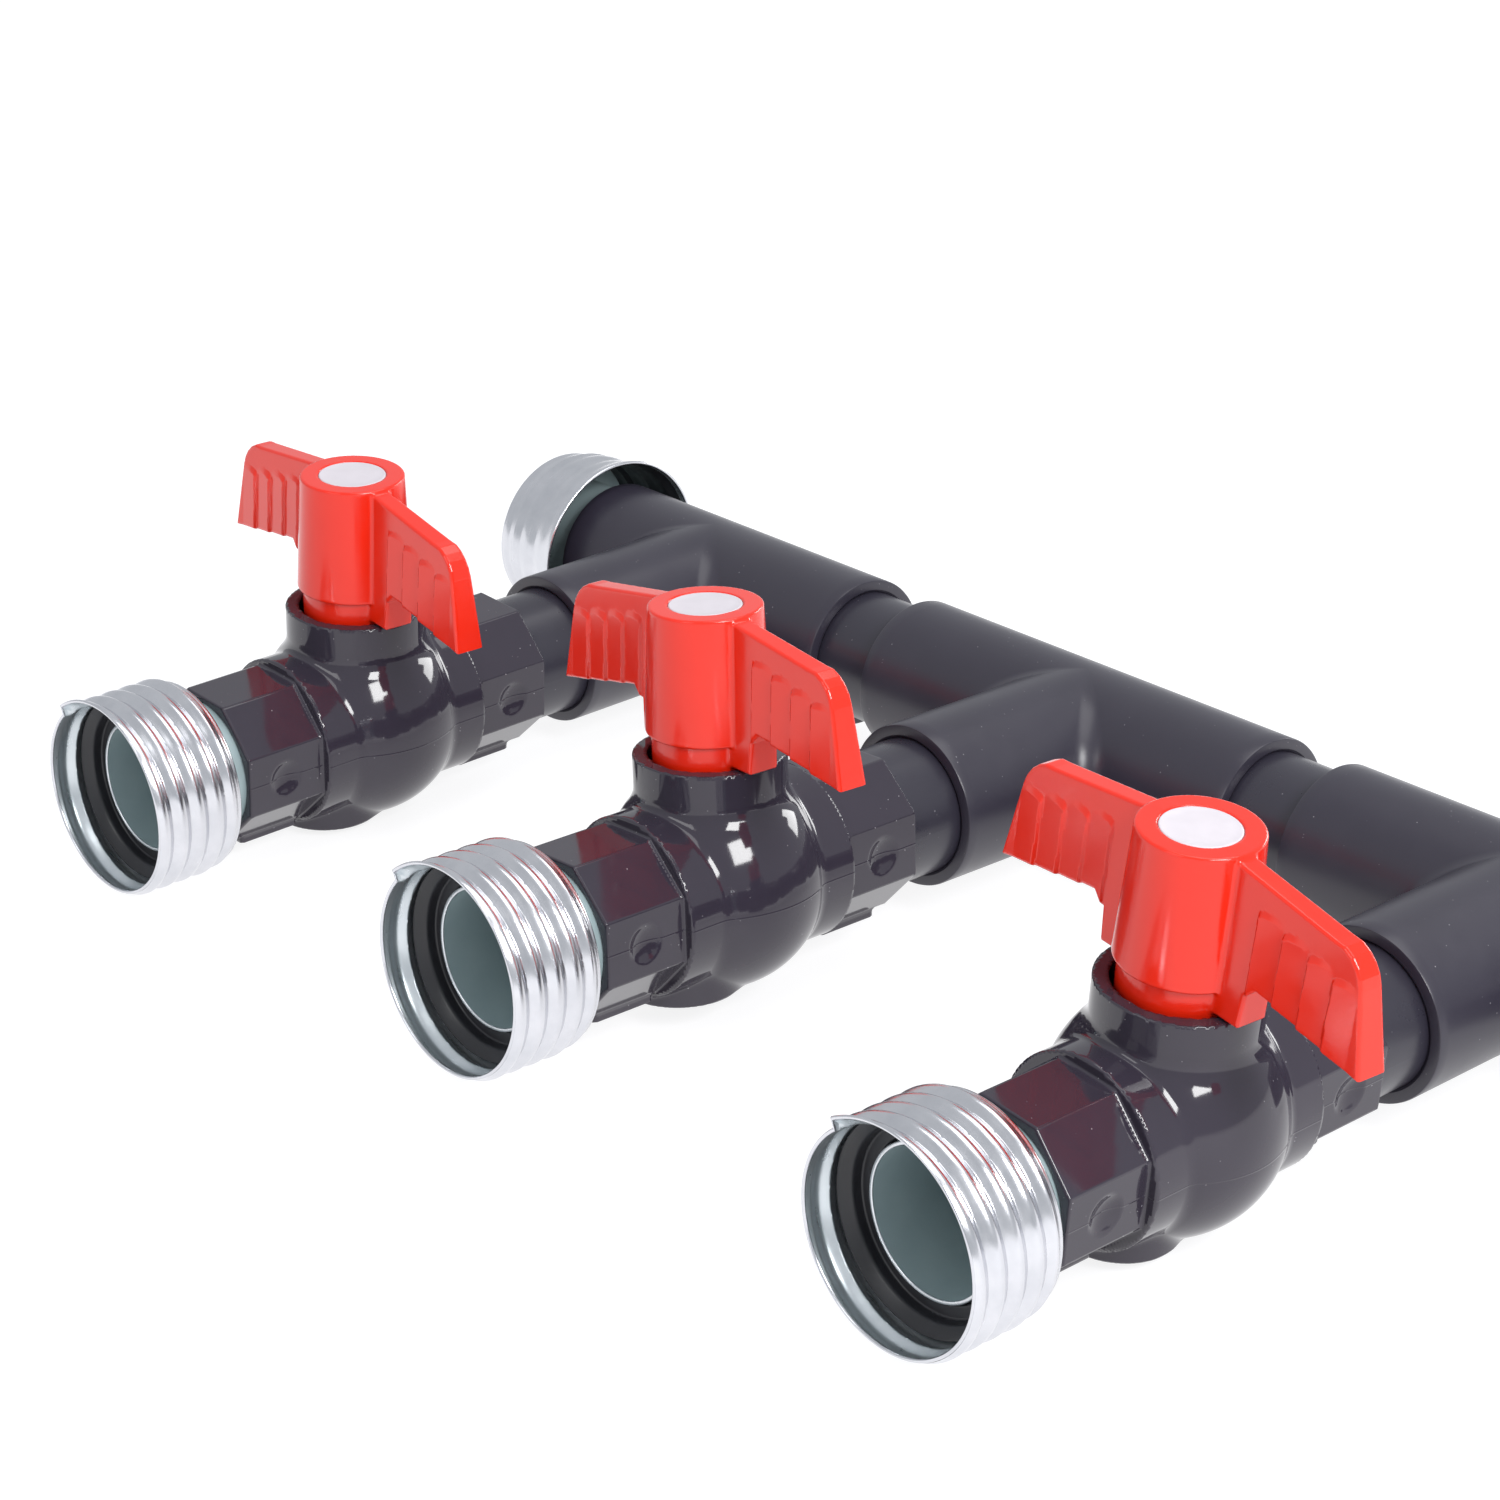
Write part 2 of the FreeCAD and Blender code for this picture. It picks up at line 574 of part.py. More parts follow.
def wing_corners(sign):
    def across(text):
        return "%s(%s)" % (sign, text)
    corners = [(across("WingRoot"), "WingRootTop"), (across("WingShoulder"), "WingShoulderTop")]
    for angle in (66, 48, 30, 12):
        corners.append((across("WingShoulder - 0.6 + WingCorner * cos(%d deg)" % angle),
                        "WingShoulderTop - WingCorner + 0.4 + WingCorner * sin(%d deg)" % angle))
    corners += [
        (across("WingTip"), "WingTipFoot"), (across("WingInner"), "WingInnerFoot"),
        (across("LugOuter + 0.8"), "WingInnerFoot - 3"), (across("LugOuter"), "LugFoot"),
        (across("LugInner"), "LugFoot"), (across("LugInner"), "HubFoot + 2"),
        (across("WingRoot"), "HubFoot + 4"),
    ]
    return corners


def grip_ribs(n):
    # four upright ribs on both faces of both wings; each follows the slope of the wing face
    ribs = []
    lean = "(WingFootHalf - WingTopHalf) / (HubTop - LugFoot)"
    for side, sign in (("right", ""), ("left", "-")):
        for k in range(4):
            mid = "(RibFirst + %d * RibStep)" % k
            top = "(RibTop - %d * RibFall)" % k
            foot = "(RibFoot - %d * RibFall)" % k
            at_top = "(WingTopHalf + (HubTop - %s) * %s + RibProud)" % (top, lean)
            at_foot = "(WingTopHalf + (HubTop - %s) * %s + RibProud)" % (foot, lean)
            shape = plate("%s_rib_%s_%d" % (n, side, k), [
                (at_top, top), (at_foot, foot), ("-" + at_foot, foot), ("-" + at_top, top),
            ], "RibWidth", SIDEWAYS, Vector(1, 0, 0))
            bind(shape, "Placement.Base.x", sign + mid)
            ribs.append(shape)
    return ribs


def handle(i):
    n = "handle_%d" % i
    hub = spun(n + "_hub", [
        ("0", "SkirtFoot"), ("SkirtRadius", "SkirtFoot"), ("SkirtRadius", "HubFoot"),
        ("HubFootRadius", "HubFoot"), ("HubTopRadius", "HubTop - 0.6"),
        ("HubTopRadius - 0.6", "HubTop"), ("0", "HubTop"),
    ])
    pair = fuse(n + "_wing_pair", [
        plate(n + "_wing_right", wing_corners(""), "4 * WingFootHalf", UPRIGHT, Vector(0, 1, 0)),
        plate(n + "_wing_left", wing_corners("-"), "4 * WingFootHalf", UPRIGHT, Vector(0, 1, 0)),
    ])
    taper = plate(n + "_taper", [
        ("WingTopHalf", "HubTop"), ("WingFootHalf", "LugFoot"),
        ("-WingFootHalf", "LugFoot"), ("-WingTopHalf", "HubTop"),
    ], "4 * WingTip", SIDEWAYS, Vector(1, 0, 0))
    wings = doc.addObject("Part::MultiCommon", n + "_wings")
    wings.Shapes = [pair, taper]
    tools = [
        cylinder(n + "_stem_hole", "StemRadius + GlueGap", "SquareStart - SkirtFoot + 2", "z",
                 ("0", "0", "SkirtFoot - 2")),
        block(n + "_square_hole", "2 * (SquareHalf + GlueGap)", "2 * (SquareHalf + GlueGap)",
              "StemTop - SquareStart + 1", ("-SquareHalf - GlueGap", "-SquareHalf - GlueGap",
                                           "SquareStart - 1")),
        cylinder(n + "_screw_well", "ScrewWell", "20", "z", ("0", "0", "StemTop")),
        cylinder(n + "_cap_recess", "CapRadius + GlueGap", "20", "z", ("0", "0", "HubTop - CapRecess")),
    ]
    solid = fuse(n + "_solid", [hub, wings] + grip_ribs(n))
    node(cut(n, solid, tools), n, rotor_place(i))


def inlet():
    # flanged tube in the open end of the first tee, with the sleeve's skirt towards the tee
    back = "(InletRim + SleeveLength)"
    start = "(InletLimb - SocketDepth + SocketStop)"
    tube = spun("inlet_tube", tube_profile(back + " - " + start,
                                           back + " - Sheet - FlangeThick - " + start), "-x",
                ("-" + start, "0", "0"))
    fix(tube, "inlet_tube", tee_place(1))
    sleeve = spun("inlet_sleeve", rim_profile("SleeveLength", " + SleeveExtra"), "x", ("-" + back, "0", "0"))
    fix(sleeve, "inlet_sleeve", tee_place(1))


for i in (1, 2, 3):
    tee(i)
header_nipple(1)
header_nipple(2)
end_plug()
inlet()
for i in (1, 2, 3):
    branch_nipple(i)
    valve_body(i)
    seat(i, "outlet")
    seat(i, "inlet")
    ball(i)
    stem(i)
    stem_ring(i)
    handle(i)
    handle_screw(i)
    handle_cap(i)
    outlet_tube(i)
    gasket(i)
    coupling_nut(i)

sheet.clear("E1")
doc.recompute()

for obj in doc.Objects:
    if "Invalid" in obj.State or "Error" in obj.State:
        raise RuntimeError("%s did not build: %s" % (obj.Label, obj.State))

os.makedirs("parts", exist_ok=True)
for name, obj in NODES:
    shape = obj.Shape
    if shape.isNull() or not shape.isValid() or len(shape.Solids) != 1:
        raise RuntimeError("%s is not one closed solid" % name)
    shape.exportStep("parts/%s.step" % name)
    box = shape.BoundBox
    print("%-16s %9.1f mm3  %7.1f %7.1f %7.1f  %7.1f %7.1f %7.1f" % (
        name, shape.Volume, box.XMin, box.YMin, box.ZMin, box.XMax, box.YMax, box.ZMax))
print(len(NODES), "parts")
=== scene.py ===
import math

import bmesh
import bpy
import numpy as np
from mathutils import Matrix, Vector


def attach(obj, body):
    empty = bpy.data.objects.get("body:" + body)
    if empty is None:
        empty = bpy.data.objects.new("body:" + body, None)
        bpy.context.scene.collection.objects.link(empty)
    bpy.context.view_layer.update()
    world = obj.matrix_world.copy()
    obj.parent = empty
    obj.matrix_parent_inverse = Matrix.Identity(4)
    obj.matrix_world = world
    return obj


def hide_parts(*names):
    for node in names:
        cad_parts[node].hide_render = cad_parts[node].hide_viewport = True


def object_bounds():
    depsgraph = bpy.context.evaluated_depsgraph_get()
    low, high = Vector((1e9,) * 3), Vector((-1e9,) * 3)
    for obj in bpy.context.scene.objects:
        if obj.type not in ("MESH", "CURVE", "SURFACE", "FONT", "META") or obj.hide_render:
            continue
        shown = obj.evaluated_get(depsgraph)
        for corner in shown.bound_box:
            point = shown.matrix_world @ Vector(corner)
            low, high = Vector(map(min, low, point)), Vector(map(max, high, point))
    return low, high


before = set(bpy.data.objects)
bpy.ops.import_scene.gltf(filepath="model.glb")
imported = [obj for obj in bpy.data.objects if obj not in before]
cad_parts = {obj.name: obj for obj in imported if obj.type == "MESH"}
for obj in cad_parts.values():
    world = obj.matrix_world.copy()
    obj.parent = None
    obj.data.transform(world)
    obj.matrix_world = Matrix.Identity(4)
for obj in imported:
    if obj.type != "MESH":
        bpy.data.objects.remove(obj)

cad_box = [list(corner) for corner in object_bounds()]

# ---------------------------------------------------------------------------
# Camera, floor and light
# A longish lens looks down on the outlets from the right. The floor is a plain
# white table. One square softbox stands to the right, and three weaker panels
# above, behind and in front fill an evenly lit room.
# ---------------------------------------------------------------------------

# metres and degrees
SENSOR_MM, LENS_MM = 36.0, 84.74
LENS_SHIFT = (0.0275, -0.0156)
EYE = (0.65571, -0.72059, 0.42159)
LOOK_DOWN, LEAN, HEADING = 23.267, 0.062, 48.867
TABLE_HALF = 9.0
TABLE_GLOW = 0.84
ROOM_COLOUR, ROOM_STRENGTH = (0.9, 0.93, 0.97, 1.0), 0.68
AIM_AHEAD = 0.12


def srgb(text):
    """Hex colour of a paint chip to linear light."""
    parts = [int(text[i:i + 2], 16) / 255 for i in (0, 2, 4)]
    lin = [c / 12.92 if c <= 0.04045 else ((c + 0.055) / 1.055) ** 2.4 for c in parts]
    return (*lin, 1.0)


def per_metre(size_mm):
    """Scale that gives a pattern whose patches are about this many millimetres wide."""
    return 1000.0 / size_mm


def add(tree, kind, inputs=None, **settings):
    """Adds one node; an input is a plain value or another node's output."""
    made = tree.nodes.new(kind)
    for key, value in settings.items():
        setattr(made, key, value)
    for key, value in (inputs or {}).items():
        if isinstance(value, bpy.types.NodeSocket):
            tree.links.new(value, made.inputs[key])
        else:
            made.inputs[key].default_value = value
    return made


def material(name):
    """Empty material and its node tree."""
    made = bpy.data.materials.new(name)
    made.use_nodes = True
    made.node_tree.nodes.clear()
    return made, made.node_tree


def surface(tree, **inputs):
    """Principled surface of a material; an underscore stands for the space in a socket's name."""
    sockets = {key.replace("_", " "): value for key, value in inputs.items()}
    shader = add(tree, "ShaderNodeBsdfPrincipled", sockets)
    add(tree, "ShaderNodeOutputMaterial", {"Surface": shader.outputs[0]})


scene = bpy.context.scene
scene.view_settings.view_transform = "Standard"

lens_data = bpy.data.cameras.new("camera")
lens_data.sensor_width = SENSOR_MM
lens_data.lens = LENS_MM
lens_data.shift_x, lens_data.shift_y = LENS_SHIFT
lens_data.clip_end = 30.0
camera = bpy.data.objects.new("camera", lens_data)
scene.collection.objects.link(camera)
camera.location = EYE
camera.rotation_euler = (math.radians(90 - LOOK_DOWN), math.radians(LEAN), math.radians(HEADING))
scene.camera = camera

# white laminate table top, faintly mottled
table_white, tree = material("white_laminate_table")
place = add(tree, "ShaderNodeTexCoord").outputs["Object"]
mottle = add(tree, "ShaderNodeTexNoise", {"Vector": place, "Scale": per_metre(167)}).outputs["Fac"]
tone = add(tree, "ShaderNodeMixRGB",
           {"Fac": mottle, "Color1": srgb("86868A"), "Color2": srgb("8E8E90")}).outputs[0]
surface(tree, Base_Color=tone, Roughness=0.7, Emission_Color=(1, 1, 1, 1),
        Emission_Strength=TABLE_GLOW)

floor_mesh = bpy.data.meshes.new("table_top")
low = cad_box[0][2]
corner_signs = ((-1, -1), (1, -1), (1, 1), (-1, 1))
floor_corners = [(TABLE_HALF * x, TABLE_HALF * y, low) for x, y in corner_signs]
floor_mesh.from_pydata(floor_corners, [], [(0, 1, 2, 3)])
floor_mesh.materials.append(table_white)
table_top = bpy.data.objects.new("table_top", floor_mesh)
scene.collection.objects.link(table_top)

room = bpy.data.worlds.new("plain_room")
room.use_nodes = True
room.node_tree.nodes["Background"].inputs["Color"].default_value = ROOM_COLOUR
room.node_tree.nodes["Background"].inputs["Strength"].default_value = ROOM_STRENGTH
scene.world = room


def softbox(name, azimuth, elevation, distance, width, height, watts):
    """A light panel aimed at the handles; azimuth runs from +Y towards +X."""
    lamp = bpy.data.lights.new(name, "AREA")
    lamp.shape = "RECTANGLE"
    lamp.size = width
    lamp.size_y = height
    lamp.energy = watts
    holder = bpy.data.objects.new(name, lamp)
    scene.collection.objects.link(holder)
    a, e = math.radians(azimuth), math.radians(elevation)
    at = Vector((math.sin(a) * math.cos(e), math.cos(a) * math.cos(e), math.sin(e))) * distance
    holder.location = at + Vector((0, -AIM_AHEAD, 0))
    holder.rotation_euler = (-at).to_track_quat("-Z", "Y").to_euler()
    holder.visible_camera = False


softbox("softbox_right", azimuth=96, elevation=38, distance=1.6, width=0.6, height=0.58, watts=19)
softbox("panel_top", azimuth=20, elevation=74, distance=1.9, width=1.5, height=1.2, watts=11)
softbox("panel_back", azimuth=2, elevation=16, distance=2.4, width=1.3, height=0.45, watts=16)
softbox("panel_front", azimuth=175, elevation=38, distance=2.2, width=0.9, height=0.7, watts=5.5)

# ---------------------------------------------------------------------------
# Header tees
# Three injection-moulded PVC-U tees with long sockets, solvent-welded in a row.
# The branch runs into the run with a soft moulded fillet, the mouths are faced off.
# ---------------------------------------------------------------------------

MM = 0.001

# lengths in millimetres, angles in degrees, as the tees were moulded and cemented together
PITCH = 167.0
TEE_TILT = {1: 0.75, 2: -0.9, 3: 0.3}
BRANCH_SWING = {1: 0.8, 2: 0.1, 3: -0.7}

PIPE_FIT = 20.05
TEE_RADIUS, TEE_BORE, TEE_FILLET = 24.0, 17.0, 7.0
TEE_LIMB, INLET_LIMB, SOCKET = 72.0, 51.0, 26.0
SWING_RUN = 16.0
FILLET_FADE = 0.75

# pattern sizes of the moulded surfaces
CLOUD_MM, DUST_MM, DUST_PATCH_MM, RUB_MM = 28.6, 2.38, 8.33, 14.3
PARTING_RISE = 0.12


def turn(axis, degrees):
    return Matrix.Rotation(math.radians(degrees), 4, axis)


def shift(x, y, z):
    return Matrix.Translation(Vector((x, y, z)) * MM)


def tee_place(i):
    """Centre of a tee."""
    return shift((i - 2) * PITCH, 0, 0) @ turn("X", TEE_TILT[i])


def make_mesh(name, points, faces, finish, sharp=None):
    """Mesh in metres from points in millimetres; doubled points are welded."""
    mesh = bpy.data.meshes.new(name)
    corners = [tuple(float(c) * MM for c in p) for p in points]
    mesh.from_pydata(corners, [], [tuple(int(i) for i in f) for f in faces])
    work = bmesh.new()
    work.from_mesh(mesh)
    bmesh.ops.remove_doubles(work, verts=work.verts, dist=1e-6)
    bmesh.ops.recalc_face_normals(work, faces=work.faces)
    work.to_mesh(mesh)
    work.free()
    mesh.shade_smooth()
    if sharp:
        mesh.set_sharp_from_angle(angle=math.radians(sharp))
    mesh.materials.append(finish)
    return mesh


def piece(name, mesh, matrix, body, slot, *nodes):
    """Puts a mesh in place on its body, instead of the CAD nodes. The slot is not used."""
    made = bpy.data.objects.new(name, mesh)
    scene.collection.objects.link(made)
    made.matrix_world = matrix
    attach(made, body)
    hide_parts(*nodes)


def pvc(name, dark, light, gloss, peel_mm, peel_depth, specks, parting=0.0):
    """Dark grey PVC-U: deep even colour, a gloss skin with faint waviness, dust and rubs."""
    made, tree = material(name)
    place = add(tree, "ShaderNodeTexCoord").outputs["Object"]
    cloud = add(tree, "ShaderNodeTexNoise",
                {"Vector": place, "Scale": per_metre(CLOUD_MM), "Detail": 4.0}).outputs["Fac"]
    peel = add(tree, "ShaderNodeTexNoise",
               {"Vector": place, "Scale": per_metre(peel_mm), "Detail": 2.0}).outputs["Fac"]
    dust = add(tree, "ShaderNodeTexVoronoi",
               {"Vector": place, "Scale": per_metre(DUST_MM)}, feature="F1").outputs["Distance"]
    sparse = add(tree, "ShaderNodeTexNoise",
                 {"Vector": place, "Scale": per_metre(DUST_PATCH_MM), "Detail": 1.0}).outputs["Fac"]
    seen = add(tree, "ShaderNodeMapRange",
               {"Value": sparse, "From Min": 0.5, "From Max": 0.6}).outputs[0]
    dot = add(tree, "ShaderNodeMapRange",
              {"Value": dust, "From Min": 0.085, "From Max": 0.05, "To Max": specks}).outputs[0]
    speck = add(tree, "ShaderNodeMath", {0: seen, 1: dot}, operation="MULTIPLY").outputs[0]
    base = add(tree, "ShaderNodeMixRGB",
               {"Fac": cloud, "Color1": srgb(dark), "Color2": srgb(light)}).outputs[0]
    dusty = add(tree, "ShaderNodeMixRGB",
                {"Fac": speck, "Color1": base, "Color2": srgb("B9B6BC")}).outputs[0]
    rub = add(tree, "ShaderNodeTexNoise", {"Vector": place, "Scale": per_metre(RUB_MM),
                                           "Detail": 5.0, "Roughness": 0.65}).outputs["Fac"]
    rough = add(tree, "ShaderNodeMapRange", {"Value": rub, "From Min": 0.3, "From Max": 0.75,
                                             "To Min": gloss, "To Max": gloss + 0.07}).outputs[0]
    wave = add(tree, "ShaderNodeBump",
               {"Height": peel, "Strength": 0.3, "Distance": peel_depth * MM}).outputs[0]
    if parting:
        level = add(tree, "ShaderNodeSeparateXYZ", {0: place}).outputs["Z"]
        off = add(tree, "ShaderNodeMath", {0: level}, operation="ABSOLUTE").outputs[0]
        line = add(tree, "ShaderNodeMapRange",
                   {"Value": off, "From Min": parting * MM, "From Max": 0.0}).outputs[0]
        wave = add(tree, "ShaderNodeBump", {"Height": line, "Strength": 0.6, "Normal": wave,
                                            "Distance": PARTING_RISE * MM}).outputs[0]
    surface(tree, Base_Color=dusty, Roughness=rough, IOR=1.54, Normal=wave)
    return made


# moulded PVC-U from a satin mould: soft broad reflections
pvc_fitting = pvc("pvc_moulded_fitting", "26232E", "302D39",
                  gloss=0.3, peel_mm=9.0, peel_depth=0.03, specks=0.5)
# extruded PVC-U pipe: the same grey with a flatter skin
pvc_pipe = pvc("pvc_extruded_pipe", "26242E", "2F2D38",
               gloss=0.26, peel_mm=3.0, peel_depth=0.03, specks=0.45)


def tee_skin(radius, limbs, fillet, swing, mouth):
    """Outside (or bore) of a tee: limbs are the right, left and branch lengths.

    The branch swings out of square over SWING_RUN. The mouth is a list of rings, each with its
    distance ahead of the limb's end and its radius.
    """
    points, faces = [], []
    right, left, branch = limbs

    def patch(grid):
        first = len(points)
        rows, cols = len(grid), len(grid[0])
        for row in grid:
            for x, y, z in row:
                part = min(max((-y - radius) / SWING_RUN, 0), 1)
                way = math.radians(swing) * part * part * (3 - 2 * part)
                points.append((x * math.cos(way) - y * math.sin(way),
                               x * math.sin(way) + y * math.cos(way), z))
        for r in range(rows - 1):
            for c in range(cols - 1):
                a = first + r * cols + c
                faces.append((a, a + 1, a + cols + 1, a + cols))

    count, along, round_steps = 72, 14, 12
    for side, limb in ((1, right), (-1, left)):
        grid = []
        for j in range(count + 1):
            angle = math.radians(-90 + 180 * j / count)
            reach = radius * max(math.cos(angle), 0.0)
            z = radius * math.sin(angle)
            soft = fillet * max(math.cos(angle), 0.0) ** FILLET_FADE
            corner = reach + soft
            row = []
            for k in range(along + 1):
                x = limb + (reach + soft - limb) * k / along
                row.append((side * x, -reach, z))
            for k in range(1, round_steps):
                t = math.pi / 2 * k / round_steps
                row.append((side * (corner - soft * math.sin(t)),
                            -(corner - soft * math.cos(t)), z))
            for k in range(along + 1):
                y = reach + soft + (branch - reach - soft) * k / along
                row.append((side * reach, -y, z))
            grid.append(row)
        patch(grid)
    back = []
    for j in range(count + 1):
        angle = math.radians(90 + 180 * j / count)
        y, z = -radius * math.cos(angle), radius * math.sin(angle)
        xs = [right * (1 - k / along) for k in range(along)]
        xs += [-left * k / along for k in range(along + 1)]
        back.append([(x, y, z) for x in xs])
    patch(back)
    for quarter, limb in ((0, right), (180, left), (-90, branch)):
        to = turn("Z", quarter)
        rings = []
        for ahead, r in mouth:
            ring = []
            for j in range(2 * count + 1):
                angle = math.radians(-90 + 180 * j / count)
                across = Vector((limb + ahead, -r * math.cos(angle), r * math.sin(angle)))
                ring.append(tuple(to @ across))
            rings.append(ring)
        if mouth:
            patch(rings)
    return points, faces


MOUTH_EDGE = 0.7
mouth = [(0.0, TEE_RADIUS), (0.5, 23.8), (MOUTH_EDGE, 23.3), (MOUTH_EDGE, 20.9), (0.1, PIPE_FIT),
         (MOUTH_EDGE - SOCKET, PIPE_FIT), (MOUTH_EDGE - SOCKET, TEE_BORE)]
for i in (1, 2, 3):
    limbs = (TEE_LIMB, INLET_LIMB if i == 1 else TEE_LIMB, TEE_LIMB)
    outer = tee_skin(TEE_RADIUS, [limb - MOUTH_EDGE for limb in limbs], TEE_FILLET,
                     BRANCH_SWING[i], mouth)
    inner = tee_skin(TEE_BORE, [limb - SOCKET for limb in limbs], 0.0, BRANCH_SWING[i], [])
    offset = len(outer[0])
    faces = outer[1] + [tuple(k + offset for k in f) for f in inner[1]]
    tee_mesh = make_mesh(f"tee_{i}_moulded", outer[0] + inner[0], faces, pvc_fitting, sharp=32)
    piece(f"moulded_tee_{i}", tee_mesh, tee_place(i), "manifold", "pvc_grey", f"tee_{i}")

# ---------------------------------------------------------------------------
# Header and branch pipes, end plug
# Short lengths of extruded d40 PVC-U pipe cemented between the fittings, and a
# turned plug that closes the far end of the header.
# ---------------------------------------------------------------------------

CAD_SHARP = 30
PIPE_RADIUS = 20.0
PLUG_DEPTH, PLUG_END = 25.0, 31.0
NEAR_AXIS = 0.01


def finish_cad(node, finish):
    """Keeps a node's CAD mesh, smooth between its edges, in a finish of its own."""
    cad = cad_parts[node]
    cad.data.materials.clear()
    cad.data.materials.append(finish)
    cad.data.shade_smooth()
    cad.data.set_sharp_from_angle(angle=math.radians(CAD_SHARP))


for name in ("nipple_1", "nipple_2", "branch_pipe_1", "branch_pipe_2", "branch_pipe_3"):
    finish_cad(name, pvc_pipe)


def eased(corners, radius, steps=4):
    """Outline with each corner replaced by a short curve."""
    made = []
    count = len(corners)
    for i in range(count):
        before, here, after = (np.array(corners[(i + k) % count], float) for k in (-1, 0, 1))
        back, ahead = np.linalg.norm(before - here), np.linalg.norm(after - here)
        r = min(radius, 0.45 * back, 0.45 * ahead)
        start = here + (before - here) / back * r
        end = here + (after - here) / ahead * r
        for k in range(steps + 1):
            t = k / steps
            made.append(tuple((1 - t) ** 2 * start + 2 * t * (1 - t) * here + t * t * end))
    return made


def turned(name, outline, finish, steps=160, sharp=None):
    """Solid of revolution about -Y: outline corners are (distance along -Y, radius)."""
    count = len(outline)
    points, faces = [], []
    for j in range(steps):
        angle = 2 * math.pi * j / steps
        for a, r in outline:
            points.append((r * math.sin(angle), -a, r * math.cos(angle)))
    for j in range(steps):
        here, ahead = j * count, ((j + 1) % steps) * count
        for i in range(count):
            k = (i + 1) % count
            faces.append((here + i, here + k, ahead + k, ahead + i))
    return make_mesh(name, points, faces, finish, sharp)


plug_outline = eased([(0.0, NEAR_AXIS), (0.0, PIPE_RADIUS), (PLUG_DEPTH, PIPE_RADIUS),
                      (PLUG_DEPTH, TEE_RADIUS), (PLUG_END, TEE_RADIUS), (PLUG_END, NEAR_AXIS)], 1.2)
plug_mesh = turned("end_plug_turned", plug_outline, pvc_fitting, sharp=40)
plug_place = shift(PITCH + TEE_LIMB - PLUG_DEPTH, 0, 0) @ turn("Z", 90)
piece("turned_end_plug", plug_mesh, plug_place, "manifold", "pvc_grey", "end_plug")

# ---------------------------------------------------------------------------
# Ball valve bodies
# One-piece moulded PVC-U bodies: a ball-shaped middle with a collar for the stem,
# octagon sockets at both ends, round gate marks and small feet. All edges are
# rounded and every joint between the shapes is filleted, as a mould leaves them.
# ---------------------------------------------------------------------------

# header axis to stem, and how each valve was turned about its branch when it was cemented on
STEM_REACH = 146.9
VALVE_ROLL = {1: 2.5, 2: -3.5, 3: 5.0}

# where a handle points when its valve is closed, in degrees
CLOSED = -4.0

# radii, and heights or reaches from the centre of the ball
BULGE, BULGE_RISE = 30.7, 33.4
RING, RING_REACH = 25.3, 29.5
OCT_FLAT, OCT_MIDDLE, OCT_HALF = 22.0, 41.0, 15.0
PAD_CENTRE, PAD_HALF = (0, OCT_MIDDLE, -21.8), (9.0, 10.0, 3.0)
FOOT, FOOT_AHEAD, FOOT_LOW, FOOT_TOP = 16.5, 13.0, -27.9, -12.0
COLLAR, COLLAR_MIDDLE, COLLAR_HALF = 21.1, 23.6, 13.6
COLLAR_BORE, COLLAR_FLOOR, FLOOR_SLOPE = 17.0, 30.5, 4
STOP_EDGE, STOP_MIDDLE, STOP_HALF = 5.35, 38.4, 2.0
MARK_REACH, MARK_OUT, MARK_BALL = 43.0, 30.6, 10.2
SOCKET_MIDDLE, SOCKET_HALF = 46.0, 12.0
WATERWAY, BALL_ROOM = 16.0, 25.3
STEM_HOLE, STEM_HOLE_FOOT = 7.08, 15
BODY_GRID, PULLS, LEAST_SLOPE = 0.9, 4, 0.2


def valve_place(i):
    """Centre of a valve's ball, bore along Y and stem along Z."""
    branch = tee_place(i) @ turn("Z", BRANCH_SWING[i])
    return branch @ shift(0, -STEM_REACH, 0) @ turn("Y", VALVE_ROLL[i])


def melt(a, b, fillet):
    """Joins two shapes with a fillet of about this many millimetres."""
    h = np.clip(0.5 + 0.5 * (b - a) / fillet, 0, 1)
    return b + (a - b) * h - fillet * h * (1 - h)


def carve(a, b, edge):
    """Takes shape b out of shape a and rounds the new edge."""
    return -melt(-a, b, edge)


def rounded_pair(u, v, edge):
    """Shape bounded by two surfaces, with the edge between them rounded."""
    u, v = u + edge, v + edge
    return np.minimum(np.maximum(u, v), 0) + np.hypot(np.maximum(u, 0), np.maximum(v, 0)) - edge


